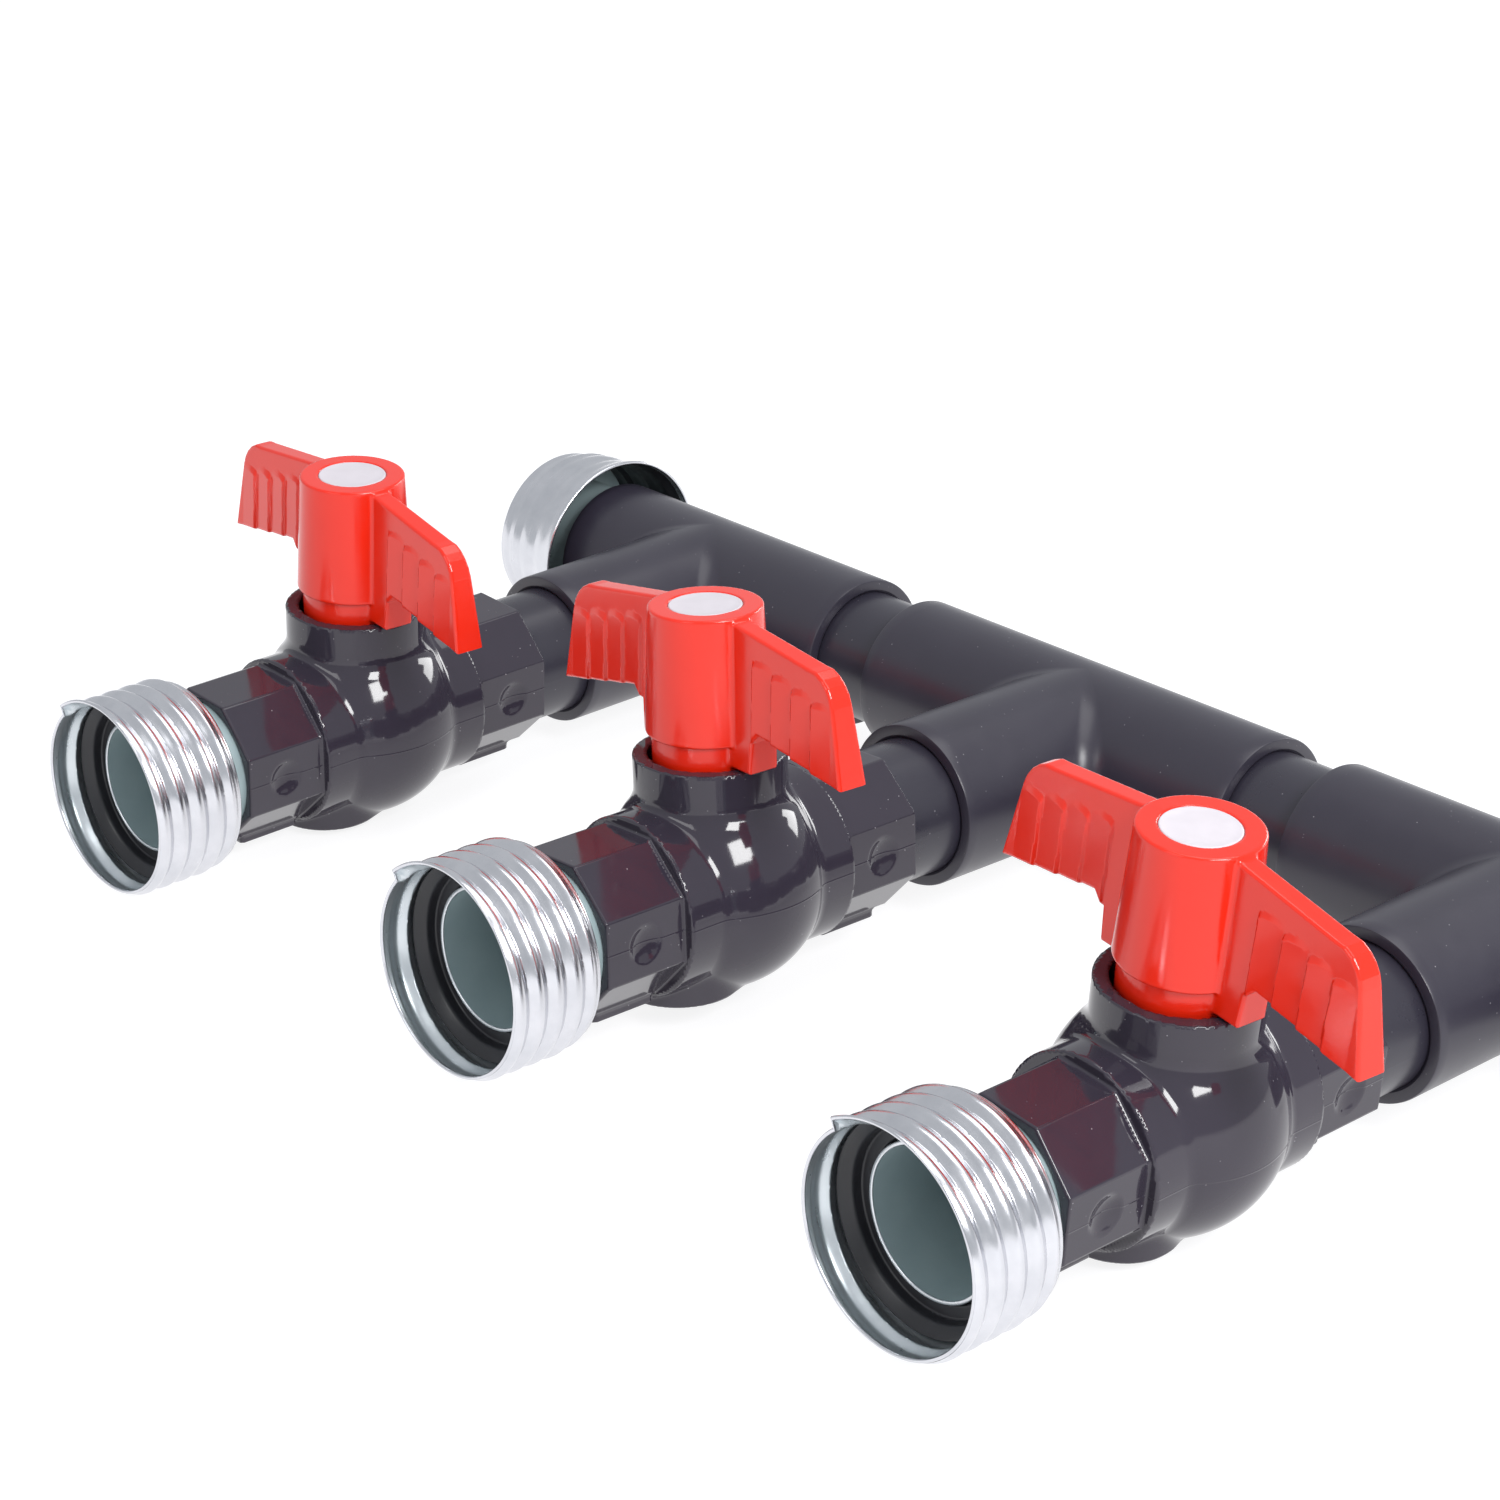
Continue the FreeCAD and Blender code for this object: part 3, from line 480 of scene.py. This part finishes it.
def skin(name, field, low, high, step, finish):
    """Meshes the zero surface of a field of distances, then pulls each point onto it."""
    axes = [np.arange(a, b + step, step) for a, b in zip(low, high)]
    grid = np.stack(np.meshgrid(*axes, indexing="ij"), -1)
    value = field(grid[..., 0], grid[..., 1], grid[..., 2])
    inside = value < 0
    shape = np.array(value.shape) - 1
    total = np.zeros((*shape, 3))
    hits = np.zeros(tuple(shape))
    corners = [(i, j, k) for i in (0, 1) for j in (0, 1) for k in (0, 1)]
    cut = {c: tuple(slice(c[n], c[n] + shape[n]) for n in range(3)) for c in corners}
    for a in corners:
        for n in range(3):
            if a[n]:
                continue
            b = tuple(a[m] + (m == n) for m in range(3))
            va, vb = value[cut[a]], value[cut[b]]
            cross = inside[cut[a]] != inside[cut[b]]
            t = np.where(cross, va / np.where(cross, va - vb, 1), 0)
            for m in range(3):
                total[..., m] += np.where(cross, a[m] + (t if m == n else 0), 0)
            hits += cross
    live = hits > 0
    index = np.full(tuple(shape), -1)
    index[live] = np.arange(live.sum())
    cells = np.argwhere(live)
    points = np.array(low) + (cells + total[live] / hits[live][:, None]) * step
    faces = []
    for n in range(3):
        u, v = (n + 1) % 3, (n + 2) % 3
        span = [slice(1, shape[m]) for m in range(3)]
        span[n] = slice(0, shape[n])
        here = tuple(span)
        ahead = tuple(slice(s.start + (m == n), s.stop + (m == n)) for m, s in enumerate(span))
        flip = inside[here] != inside[ahead]
        spots = np.argwhere(flip) + [s.start for s in span]
        outward = inside[here][flip]
        ring = []
        for du, dv in ((0, 0), (1, 0), (1, 1), (0, 1)):
            q = spots.copy()
            q[:, u] -= du
            q[:, v] -= dv
            ring.append(index[q[:, 0], q[:, 1], q[:, 2]])
        quad = np.stack(ring, 1)
        quad[~outward] = quad[~outward][:, ::-1]
        faces.append(quad)
    faces = np.concatenate(faces)

    def slope(p, e=0.02):
        cols = []
        for n in range(3):
            d = np.zeros(3)
            d[n] = e
            cols.append((field(*(p + d).T) - field(*(p - d).T)) / (2 * e))
        return np.stack(cols, 1)

    for _ in range(PULLS):
        g = slope(points)
        size = np.maximum((g * g).sum(1), LEAST_SLOPE)
        move = g * (field(*points.T) / size)[:, None]
        points -= np.clip(move, -0.5 * step, 0.5 * step)
    mesh = bpy.data.meshes.new(name)
    mesh.from_pydata((points * MM).tolist(), [], faces.tolist())
    mesh.materials.append(finish)
    mesh.shade_smooth()
    g = slope(points)
    outwards = g / np.maximum(np.linalg.norm(g, axis=1), 1e-9)[:, None]
    mesh.normals_split_custom_set_from_vertices(outwards.tolist())
    return mesh


def upright_bar(x, y, z, radius, low, high, edge):
    """Round bar along Z between low and high."""
    ends = np.abs(z - (low + high) / 2) - (high - low) / 2
    return rounded_pair(np.hypot(x, y) - radius, ends, edge)


def block(x, y, z, centre, half, edge):
    """Box with rounded edges."""
    q = [np.abs(c - m) - h + edge for c, m, h in zip((x, y, z), centre, half)]
    out = np.sqrt(sum(np.maximum(c, 0) ** 2 for c in q))
    return out + np.minimum(np.maximum(np.maximum(q[0], q[1]), q[2]), 0) - edge


def valve_shape(x, y, z):
    """Distance to the surface of a valve body, less than zero inside."""
    reach = np.abs(y)
    from_bore = np.hypot(x, z)
    from_stem = np.hypot(x, y)
    rise = np.where(z > 0, BULGE / BULGE_RISE, 1.0)
    body = np.sqrt(x * x + y * y + (z * rise) ** 2) - BULGE
    ring = rounded_pair(from_bore - RING, reach - RING_REACH, edge=0.5)
    body = melt(body, ring, fillet=1.1)
    wide, tall = np.abs(x), np.abs(z)
    eight = np.maximum(np.maximum(wide, tall), (wide + tall) * math.sqrt(0.5)) - OCT_FLAT
    ends = rounded_pair(eight, np.abs(reach - OCT_MIDDLE) - OCT_HALF, edge=0.6)
    body = melt(body, ends, fillet=0.8)
    body = melt(body, block(x, reach, z, PAD_CENTRE, PAD_HALF, edge=0.6), fillet=1.2)
    foot = upright_bar(x, y + FOOT_AHEAD, z, FOOT, FOOT_LOW, FOOT_TOP, edge=0.8)
    body = melt(body, foot, fillet=2.0)
    collar = rounded_pair(from_stem - COLLAR, np.abs(z - COLLAR_MIDDLE) - COLLAR_HALF, edge=0.35)
    body = melt(body, collar, fillet=2.4)
    # the stop stands on the collar's rim, in a quarter that neither lug sweeps
    way = math.radians(CLOSED)
    ahead = -x * math.sin(way) + y * math.cos(way)
    corner = np.maximum(STOP_EDGE - ahead, x + STOP_EDGE)
    stop = rounded_pair(np.maximum(from_stem - COLLAR, corner), np.abs(z - STOP_MIDDLE) - STOP_HALF,
                        edge=0.3)
    body = melt(body, stop, fillet=0.3)
    floor = np.maximum(COLLAR_FLOOR - z, 0) * FLOOR_SLOPE
    body = carve(body, from_stem - COLLAR_BORE + floor, edge=0.35)
    for side in (1, -1):
        out = x * side - MARK_OUT
        mark = np.sqrt((reach - MARK_REACH) ** 2 + z * z + out ** 2) - MARK_BALL
        body = carve(body, mark, edge=0.35)
    depth = np.abs(reach - SOCKET_MIDDLE) - SOCKET_HALF
    body = carve(body, rounded_pair(from_bore - PIPE_FIT, depth, edge=0.3), edge=0.4)
    body = carve(body, from_bore - WATERWAY, edge=0.3)
    body = carve(body, np.sqrt(x * x + y * y + z * z) - BALL_ROOM, edge=0.3)
    return carve(body, np.maximum(from_stem - STEM_HOLE, STEM_HOLE_FOOT - z), edge=0.2)


# PVC-U from a polished two-part mould: wet-looking, with a thin line where the halves met
pvc_body = pvc("pvc_moulded_two_part", "2A262F", "342F3B",
               gloss=0.05, peel_mm=9.0, peel_depth=0.03, specks=0.6, parting=0.3)

valve_mesh = skin("valve_body", valve_shape, (-32, -57.5, -32), (32, 57.5, 42.5),
                  BODY_GRID, pvc_body)
for i in (1, 2, 3):
    piece(f"moulded_valve_body_{i}", valve_mesh, valve_place(i), "manifold", "pvc_grey",
          f"valve_body_{i}")

# ---------------------------------------------------------------------------
# Handles
# Red moulded ABS T-handles: a tapered hub with a skirt down into the collar, two
# drooping wings with scooped finger flutes on both faces, and a stop lug under
# each wing. Pressed onto the stem's square and held by a screw.
# ---------------------------------------------------------------------------

# radii and half widths, and heights from the centre of the ball; the hub tapers by HUB_TAPER
# for each millimetre of height, and HUB_SLANT is the cosine of that slope
HUB, HUB_FOOT, HUB_TAPER, HUB_SLANT = 17.3, 43.4, 0.048, 0.999
HUB_MIDDLE, HUB_HALF = 61.05, 17.65
SKIRT, SKIRT_LOW, SKIRT_TOP = 15.7, 31.6, 60.0
WING_HALF, WING_TOP, WING_DRAFT, WING_BACK = 3.0, 78.7, 0.0486, 0.1
TIP_REACH, TIP_HEIGHT, TIP_ROUND = 46.9, 62.9, 10.5
FLUTES, FLUTE_FROM, FLUTE_STEP, FLUTE_DEPTH, FLUTE_RISER = 4, 24.3, 8.2, 0.8, 0.08
SCOOP_TOP, SCOOP_FALL, SCOOP_BOW, SCOOP_EASE = 71.2, 0.2, 1.1, 1.8
CAP_SEAT, CAP_SEAT_MIDDLE, CAP_SEAT_HALF = 10.05, 78.5, 3.0
SCREW_ROOM, SCREW_ROOM_FOOT = 6.2, 68.0
STEM_ROOM, STEM_ROOM_TOP = 7.05, 55.0
SQUARE_HALF, SQUARE_TOP = 4.81, 68.5
HANDLE_GRID = 0.55

# moulded ABS from a polished mould: bright even red, soft gloss, faint flow waviness
abs_red, tree = material("abs_moulded_red")
place = add(tree, "ShaderNodeTexCoord").outputs["Object"]
cloud = add(tree, "ShaderNodeTexNoise",
            {"Vector": place, "Scale": per_metre(22.2), "Detail": 3.0}).outputs["Fac"]
base = add(tree, "ShaderNodeMixRGB",
           {"Fac": cloud, "Color1": srgb("DA200A"), "Color2": srgb("E42A12")}).outputs[0]
rub = add(tree, "ShaderNodeTexNoise",
          {"Vector": place, "Scale": per_metre(6.25), "Detail": 4.0}).outputs["Fac"]
rough = add(tree, "ShaderNodeMapRange", {"Value": rub, "From Min": 0.3, "From Max": 0.7,
                                         "To Min": 0.12, "To Max": 0.2}).outputs[0]
peel = add(tree, "ShaderNodeTexNoise",
           {"Vector": place, "Scale": per_metre(2.63), "Detail": 2.0}).outputs["Fac"]
wave = add(tree, "ShaderNodeBump",
           {"Height": peel, "Strength": 0.25, "Distance": 0.04 * MM}).outputs[0]
surface(tree, Base_Color=base, Roughness=rough, IOR=1.54, Normal=wave)


def polygon(u, v, corners):
    """Distance to a closed outline in a plane, less than zero inside."""
    best = np.full(np.shape(u), 1e9)
    inside = np.zeros(np.shape(u), bool)
    for (au, av), (bu, bv) in zip(corners, corners[1:] + corners[:1]):
        eu, ev = bu - au, bv - av
        t = np.clip(((u - au) * eu + (v - av) * ev) / (eu * eu + ev * ev), 0, 1)
        best = np.minimum(best, np.hypot(u - au - t * eu, v - av - t * ev))
        if av != bv:
            crosses = ((av > v) != (bv > v)) & (u < eu * (v - av) / ev + au)
            inside ^= crosses
    return np.where(inside, -best, best)


# side view of a wing and its lug: (reach from the stem, height)
wing = [(8.0, 78.2), (12.0, 77.9), (47.5, 73.0)]
for angle in (70, 55, 40, 25, 10):
    wing.append((TIP_REACH + TIP_ROUND * math.cos(math.radians(angle)),
                 TIP_HEIGHT + TIP_ROUND * math.sin(math.radians(angle))))
wing += [(61.2, 43.2), (27.5, 49.6), (24.4, 46.6),
         (23.6, 37.55), (13.5, 37.55), (13.5, 45.4), (8.0, 47.0)]


def handle_shape(x, y, z):
    """Distance to the surface of a handle, less than zero inside."""
    from_stem = np.hypot(x, y)
    reach = np.abs(x)
    hub_side = (from_stem - HUB + (z - HUB_FOOT) * HUB_TAPER) * HUB_SLANT
    hub = rounded_pair(hub_side, np.abs(z - HUB_MIDDLE) - HUB_HALF, edge=0.7)
    skirt = upright_bar(x, y, z, SKIRT, SKIRT_LOW, SKIRT_TOP, edge=0.4)
    body = melt(hub, skirt, fillet=0.4)
    # each flute rises over a short riser, then falls back to the wing's face
    phase = (reach - FLUTE_FROM) / FLUTE_STEP
    flute = np.clip(np.floor(phase), 0, FLUTES - 1)
    part = np.clip(phase - flute, 0, 1)
    back = 1 - (part - FLUTE_RISER) / (1 - FLUTE_RISER)
    proud = FLUTE_DEPTH * np.minimum(part / FLUTE_RISER, back)
    fall = (flute + 0.5) * FLUTE_STEP * SCOOP_FALL
    top = SCOOP_TOP - fall - SCOOP_BOW * (2 * part - 1) ** 2
    shown = np.clip((top - z) / SCOOP_EASE, 0, 1)
    face = np.abs(y) - WING_HALF - (WING_TOP - z) * WING_DRAFT
    face = face - np.where((phase > 0) & (phase < FLUTES), proud * shown, 0) + WING_BACK
    body = melt(body, rounded_pair(polygon(reach, z, wing), face, edge=0.9), fillet=1.2)
    cap_seat = rounded_pair(from_stem - CAP_SEAT, np.abs(z - CAP_SEAT_MIDDLE) - CAP_SEAT_HALF,
                            edge=0.2)
    body = carve(body, cap_seat, edge=0.5)
    body = carve(body, np.maximum(from_stem - SCREW_ROOM, SCREW_ROOM_FOOT - z), edge=0.2)
    body = carve(body, np.maximum(from_stem - STEM_ROOM, z - STEM_ROOM_TOP), edge=0.2)
    square = np.maximum(reach, np.abs(y)) - SQUARE_HALF
    return carve(body, np.maximum(square, z - SQUARE_TOP), edge=0.2)


handle_mesh = skin("handle", handle_shape, (-63, -19, 30.5), (63, 19, 80), HANDLE_GRID, abs_red)
for i in (1, 2, 3):
    rotor = valve_place(i) @ turn("Z", CLOSED)
    piece(f"moulded_handle_{i}", handle_mesh, rotor, f"handle_and_ball_{i}", "abs_red",
          f"handle_{i}")

# ---------------------------------------------------------------------------
# Handle caps
# Moulded white polypropylene caps, slightly domed with an eased rim, snapped into
# the tops of the handles over the screws.
# ---------------------------------------------------------------------------

# moulded white polypropylene: milky, half matt
cap_white, tree = material("polypropylene_white")
place = add(tree, "ShaderNodeTexCoord").outputs["Object"]
cloud = add(tree, "ShaderNodeTexNoise",
            {"Vector": place, "Scale": per_metre(4.55), "Detail": 4.0}).outputs["Fac"]
base = add(tree, "ShaderNodeMixRGB",
           {"Fac": cloud, "Color1": srgb("C4BEC4"), "Color2": srgb("D0CAD0")}).outputs[0]
wave = add(tree, "ShaderNodeBump",
           {"Height": cloud, "Strength": 0.15, "Distance": 0.05 * MM}).outputs[0]
surface(tree, Base_Color=base, Roughness=0.38, IOR=1.49, Normal=wave)

cap_outline = [(-75.6, NEAR_AXIS), (-75.6, 10.0), (-78.3, 10.0), (-78.55, 9.85), (-78.6, 9.55),
               (-78.5, 9.2), (-78.52, 7.0), (-78.56, 4.0), (-78.58, NEAR_AXIS)]
cap_mesh = turned("cap", cap_outline, cap_white, sharp=50)
for i in (1, 2, 3):
    rotor = valve_place(i) @ turn("Z", CLOSED) @ turn("X", 90)
    piece(f"snap_cap_{i}", cap_mesh, rotor, f"handle_and_ball_{i}", "cap_white",
          f"handle_cap_{i}")

# ---------------------------------------------------------------------------
# Works inside the valves
# PVC-U ball and stem, PTFE seats, rubber O-ring and steel screw. They hardly show,
# and keep their plain turned shapes.
# ---------------------------------------------------------------------------

# polished PVC-U ball and stem
pvc_polished = pvc("pvc_polished_ball", "2D2C33", "35343C",
                   gloss=0.12, peel_mm=8.0, peel_depth=0.02, specks=0.0)

# the wave pattern goes through one turn in this length at a scale of 1
WAVE_LENGTH = 2 * math.pi / 20

# turned PTFE: waxy white with fine turning lines, about 1 mm apart so that they show
ptfe, tree = material("ptfe_turned_white")
place = add(tree, "ShaderNodeTexCoord").outputs["Object"]
lines = add(tree, "ShaderNodeTexWave", {"Vector": place, "Scale": WAVE_LENGTH * per_metre(1.047)},
            bands_direction="Y").outputs["Fac"]
wave = add(tree, "ShaderNodeBump",
           {"Height": lines, "Strength": 0.2, "Distance": 0.02 * MM}).outputs[0]
base = add(tree, "ShaderNodeMixRGB",
           {"Fac": lines, "Color1": srgb("E4E2DC"), "Color2": srgb("EEECE8")}).outputs[0]
surface(tree, Base_Color=base, Roughness=0.45, IOR=1.38, Normal=wave)

# moulded EPDM rubber: near black, matt with a slight bloom
rubber, tree = material("epdm_rubber_black")
place = add(tree, "ShaderNodeTexCoord").outputs["Object"]
bloom = add(tree, "ShaderNodeTexNoise",
            {"Vector": place, "Scale": per_metre(11.1), "Detail": 5.0}).outputs["Fac"]
base = add(tree, "ShaderNodeMixRGB",
           {"Fac": bloom, "Color1": srgb("1A1A1D"), "Color2": srgb("2D2D32")}).outputs[0]
rough = add(tree, "ShaderNodeMapRange", {"Value": bloom, "From Min": 0.3, "From Max": 0.7,
                                         "To Min": 0.28, "To Max": 0.42}).outputs[0]
grain = add(tree, "ShaderNodeTexNoise",
            {"Vector": place, "Scale": per_metre(1.11), "Detail": 2.0}).outputs["Fac"]
wave = add(tree, "ShaderNodeBump",
           {"Height": grain, "Strength": 0.4, "Distance": 0.05 * MM}).outputs[0]
surface(tree, Base_Color=base, Roughness=rough, IOR=1.5, Normal=wave)

# bright zinc-plated screw steel
screw_steel, tree = material("screw_steel_bright")
place = add(tree, "ShaderNodeTexCoord").outputs["Object"]
fine = add(tree, "ShaderNodeTexNoise",
           {"Vector": place, "Scale": per_metre(1.43), "Detail": 3.0}).outputs["Fac"]
rough = add(tree, "ShaderNodeMapRange", {"Value": fine, "To Min": 0.2, "To Max": 0.4}).outputs[0]
surface(tree, Base_Color=srgb("BFC1C4"), Metallic=1.0, Roughness=rough)

for i in (1, 2, 3):
    for name, finish in (("ball", pvc_polished), ("stem", pvc_polished),
                         ("seat_outlet", ptfe), ("seat_inlet", ptfe),
                         ("stem_ring", rubber), ("handle_screw", screw_steel)):
        finish_cad(f"{name}_{i}", finish)

# ---------------------------------------------------------------------------
# Outlet and inlet tubes
# Thin flanged steel tubes cemented into the valve outlets and the header's inlet,
# zinc plated and passivated, so the bore is an even blue-grey and only the mouth
# edge shines.
# ---------------------------------------------------------------------------

# plating: pattern sizes, and how much finer the lines are across than around the axis
PATCH_MM, PIT_MM, AROUND = 9.09, 1.11, 0.05
TUBE_BORE, FLANGE = 18.8, 26.8
CUT_EDGE_FROM = 78.2


def zinc(name, light, dark, smooth, rough_to, streak_mm, metal=1.0):
    """Zinc plating: bright metal with fine forming lines around the axis and cloudy patches."""
    made, tree = material(name)
    place = add(tree, "ShaderNodeTexCoord").outputs["Object"]
    around = add(tree, "ShaderNodeMapping",
                 {"Vector": place, "Scale": (AROUND, 1.0, AROUND)}).outputs[0]
    lines = add(tree, "ShaderNodeTexNoise",
                {"Vector": around, "Scale": per_metre(streak_mm), "Detail": 3.0}).outputs["Fac"]
    cloud = add(tree, "ShaderNodeTexNoise", {"Vector": place, "Scale": per_metre(PATCH_MM),
                                             "Detail": 6.0, "Roughness": 0.6}).outputs["Fac"]
    pits = add(tree, "ShaderNodeTexNoise",
               {"Vector": place, "Scale": per_metre(PIT_MM), "Detail": 3.0}).outputs["Fac"]
    mix = add(tree, "ShaderNodeMath", {0: lines, 1: cloud}, operation="MULTIPLY").outputs[0]
    base = add(tree, "ShaderNodeMixRGB",
               {"Fac": cloud, "Color1": srgb(dark), "Color2": srgb(light)}).outputs[0]
    rough = add(tree, "ShaderNodeMapRange", {"Value": mix, "From Min": 0.1, "From Max": 0.45,
                                             "To Min": smooth, "To Max": rough_to}).outputs[0]
    height = add(tree, "ShaderNodeMath", {0: lines, 1: pits}, operation="ADD").outputs[0]
    wave = add(tree, "ShaderNodeBump",
               {"Height": height, "Strength": 0.25, "Distance": 0.02 * MM}).outputs[0]
    surface(tree, Base_Color=base, Metallic=metal, Roughness=rough, Normal=wave)
    return made


def flanged_outline(start, flange_back, flange_front, mouth, ease):
    """Half section of a tube with a flange near its mouth."""
    return eased([(start, TUBE_BORE), (start, PIPE_RADIUS), (flange_back, PIPE_RADIUS),
                  (flange_back, FLANGE), (flange_front, FLANGE), (flange_front, PIPE_RADIUS),
                  (mouth, PIPE_RADIUS), (mouth, TUBE_BORE)], ease)


# blue-passivated zinc: the conversion layer dulls it to an even, slightly green-blue satin
zinc_passivated = zinc("zinc_blue_passivated", "A6B8BA", "94A8AC",
                       smooth=0.42, rough_to=0.56, streak_mm=1.5, metal=0.2)
# bare bright edge where the tube was cut and burred
zinc_edge = zinc("zinc_cut_edge", "E6E8EA", "D2D6DA",
                 smooth=0.2, rough_to=0.34, streak_mm=0.8)

tube_mesh = turned("outlet_tube", flanged_outline(35.0, 63.8, 65.4, 78.7, ease=0.45),
                   zinc_passivated, steps=192, sharp=40)
tube_mesh.materials.append(zinc_edge)
for face in tube_mesh.polygons:
    if face.center.y < -CUT_EDGE_FROM * MM:
        face.material_index = 1
for i in (1, 2, 3):
    piece(f"flanged_tube_{i}", tube_mesh, valve_place(i), "manifold", "zinc_tube",
          f"outlet_tube_{i}")

inlet_tube_mesh = turned("inlet_tube_flanged", flanged_outline(26.0, 78.0, 79.6, 80.4, ease=0.35),
                         zinc_passivated, sharp=40)
inlet_place = tee_place(1) @ turn("Z", -90)
piece("inlet_flanged_tube", inlet_tube_mesh, inlet_place, "manifold", "zinc_tube", "inlet_tube")

# ---------------------------------------------------------------------------
# Gaskets
# Moulded EPDM flat seals with a sloping outer face, pushed over the tubes onto
# their flanges.
# ---------------------------------------------------------------------------

gasket_outline = eased([(65.4, 20.3), (65.4, 27.3), (82.5, 27.3),
                        (80.0, 24.0), (77.0, 24.0), (77.0, 20.3)], 0.7)
gasket_mesh = turned("gasket", gasket_outline, rubber, sharp=45)
for i in (1, 2, 3):
    piece(f"flat_seal_{i}", gasket_mesh, valve_place(i), "manifold", "rubber_black", f"gasket_{i}")

# ---------------------------------------------------------------------------
# Coupling nuts and inlet sleeve
# Sheet steel cups, drawn and then thread-rolled, so the coarse thread shows inside
# and out. The back is turned in to hold the tube flange, and the rim is cut square,
# which leaves a lip where the first thread runs out. Bright zinc plated.
# ---------------------------------------------------------------------------

# bright zinc plating over rolled sheet: silvery, with fine lines and cloudy patches
zinc_bright = zinc("zinc_bright_rolled", "E4E4E8", "C4C6CC",
                   smooth=0.16, rough_to=0.3, streak_mm=1.2)
# the same plating inside the cup, where the passivation pooled and dried grey-green
zinc_inside = zinc("zinc_pooled_passivation", "E2E8EB", "C2CACF",
                   smooth=0.24, rough_to=0.4, streak_mm=1.8, metal=0.9)

NUT_BACK, NUT_LENGTH, SHEET, ROOT, THREAD = 62.7, 29.5, 0.8, 28.15, 6.1
BACK_CORNER, THREAD_FROM, THREAD_EASE = 1.2, 1.5, 2.5
# where the thread runs out, in degrees from the top, and how soon its lip dies away, in radians
RUN_OUT, LIP_ANGLE = -42.0, 0.45
BEAD, BEAD_PROUD = 0.55, 0.12
BACK_HOLE = 21.0
INLET_BACK, SLEEVE_LENGTH = 80.4, 32.0
# depth inside the sleeve's rim past which its inside is painted shade, in the black rubber finish
PAINTED_SHADE_FROM = 2.6


def ridge(off):
    """Round-topped ridge with a narrow valley: off runs from 0 at the top to 1 in the valley."""
    off = min(abs(off), 1.0)
    return 0.6 * (1 - off * off) + 0.4 * (0.5 + 0.5 * math.cos(math.pi * off))


def rolled_cup(name, length, root, height, pitch, laps, flare, reach, fade, tip_out,
               swell=((0, 0),)):
    """Sheet cup with a rolled thread, rim towards -Y: the first ridge runs out at the rim.

    Near the rim, over the reach, the sheet flares out and the thread fades. The run-out stands
    out by tip_out. Swell is extra radius at distances from the back.
    """
    points, faces = [], []
    steps, count = 240, 110
    for j in range(steps):
        angle = 2 * math.pi * j / steps
        outer = []
        for k in range(count + 1):
            depth = (length - BACK_CORNER) * (1 - k / count)
            rise = 0.0
            for lap in range(laps + 1):
                crest = pitch * (angle / (2 * math.pi) + lap)
                rise = max(rise, ridge((depth - crest) / (pitch * 0.5)))
            rise *= min(max((length - THREAD_FROM - depth) / THREAD_EASE, 0), 1)
            near_rim = math.exp(-((depth / reach) ** 2))
            mouth = (flare + tip_out * math.exp(-angle / LIP_ANGLE)) * near_rim
            wide = float(np.interp(length - depth, [a for a, _ in swell], [w for _, w in swell]))
            thread = height * rise * (1 - fade * near_rim)
            outer.append((length - depth, root + wide + thread + mouth))
        inner = [(a, r - SHEET) for a, r in reversed(outer)]
        tip_a, tip_r = outer[-1]
        bead = []
        for k in range(7):
            t = math.pi * k / 6
            bead.append((tip_a - BEAD + BEAD * math.sin(t),
                         tip_r - SHEET / 2 + (SHEET / 2 + BEAD_PROUD) * math.cos(t)))
        lip_out = [(0.0, BACK_HOLE), (0.0, root - 1.6), (0.25, root - 0.6), (0.7, root - 0.1)]
        lip_in = [(1.3, root - SHEET - 0.2), (0.95, root - SHEET - 0.7),
                  (SHEET, root - SHEET - 1.5), (SHEET, BACK_HOLE)]
        ring = lip_out + outer[:-1] + bead + inner[1:] + lip_in
        way = math.radians(RUN_OUT) + angle
        points.extend((r * math.sin(way), -a, r * math.cos(way)) for a, r in ring)
    span = len(ring)
    for j in range(steps):
        here, ahead = j * span, ((j + 1) % steps) * span
        for i in range(span):
            k = (i + 1) % span
            faces.append((here + i, here + k, ahead + k, ahead + i))
    mesh = make_mesh(name, points, faces, zinc_bright, sharp=60)
    mesh.materials.append(zinc_inside)
    for face in mesh.polygons:
        middle = Vector((face.center.x, 0, face.center.z))
        if -(length - 0.7) * MM < face.center.y < -1.0 * MM and face.normal.dot(middle) < 0:
            face.material_index = 1
    return mesh


nut_mesh = rolled_cup("coupling_nut", NUT_LENGTH, ROOT, height=1.6, pitch=THREAD, laps=4,
                      flare=0.35, reach=1.8, fade=0.35, tip_out=1.5)
for i in (1, 2, 3):
    nut_place = valve_place(i) @ shift(0, -NUT_BACK, 0)
    piece(f"rolled_coupling_nut_{i}", nut_mesh, nut_place, f"coupling_{i}", "zinc_nut",
          f"coupling_nut_{i}")

# the sleeve widens in steps to a plain flared rim; behind the rim its inside takes the black rubber
# finish as painted shade
SLEEVE_STEPS = ((0, 0), (7.5, 0), (9.0, 1.6), (16.0, 1.9), (SLEEVE_LENGTH, 2.4))
sleeve_mesh = rolled_cup("inlet_sleeve", SLEEVE_LENGTH, ROOT - 0.7, height=0.55, pitch=8.0, laps=3,
                         flare=2.4, reach=6.0, fade=1.0, tip_out=0.0, swell=SLEEVE_STEPS)
# painted shade: the sleeve's inside past the narrow band at the rim gets the black rubber finish
sleeve_mesh.materials.append(rubber)
for face in sleeve_mesh.polygons:
    if face.material_index == 1 and face.center.y > -(SLEEVE_LENGTH - PAINTED_SHADE_FROM) * MM:
        face.material_index = 2
sleeve_place = tee_place(1) @ shift(-INLET_BACK, 0, 0) @ turn("Z", 90)
piece("rolled_inlet_sleeve", sleeve_mesh, sleeve_place, "manifold", "zinc_sleeve", "inlet_sleeve")

bpy.context.view_layer.update()
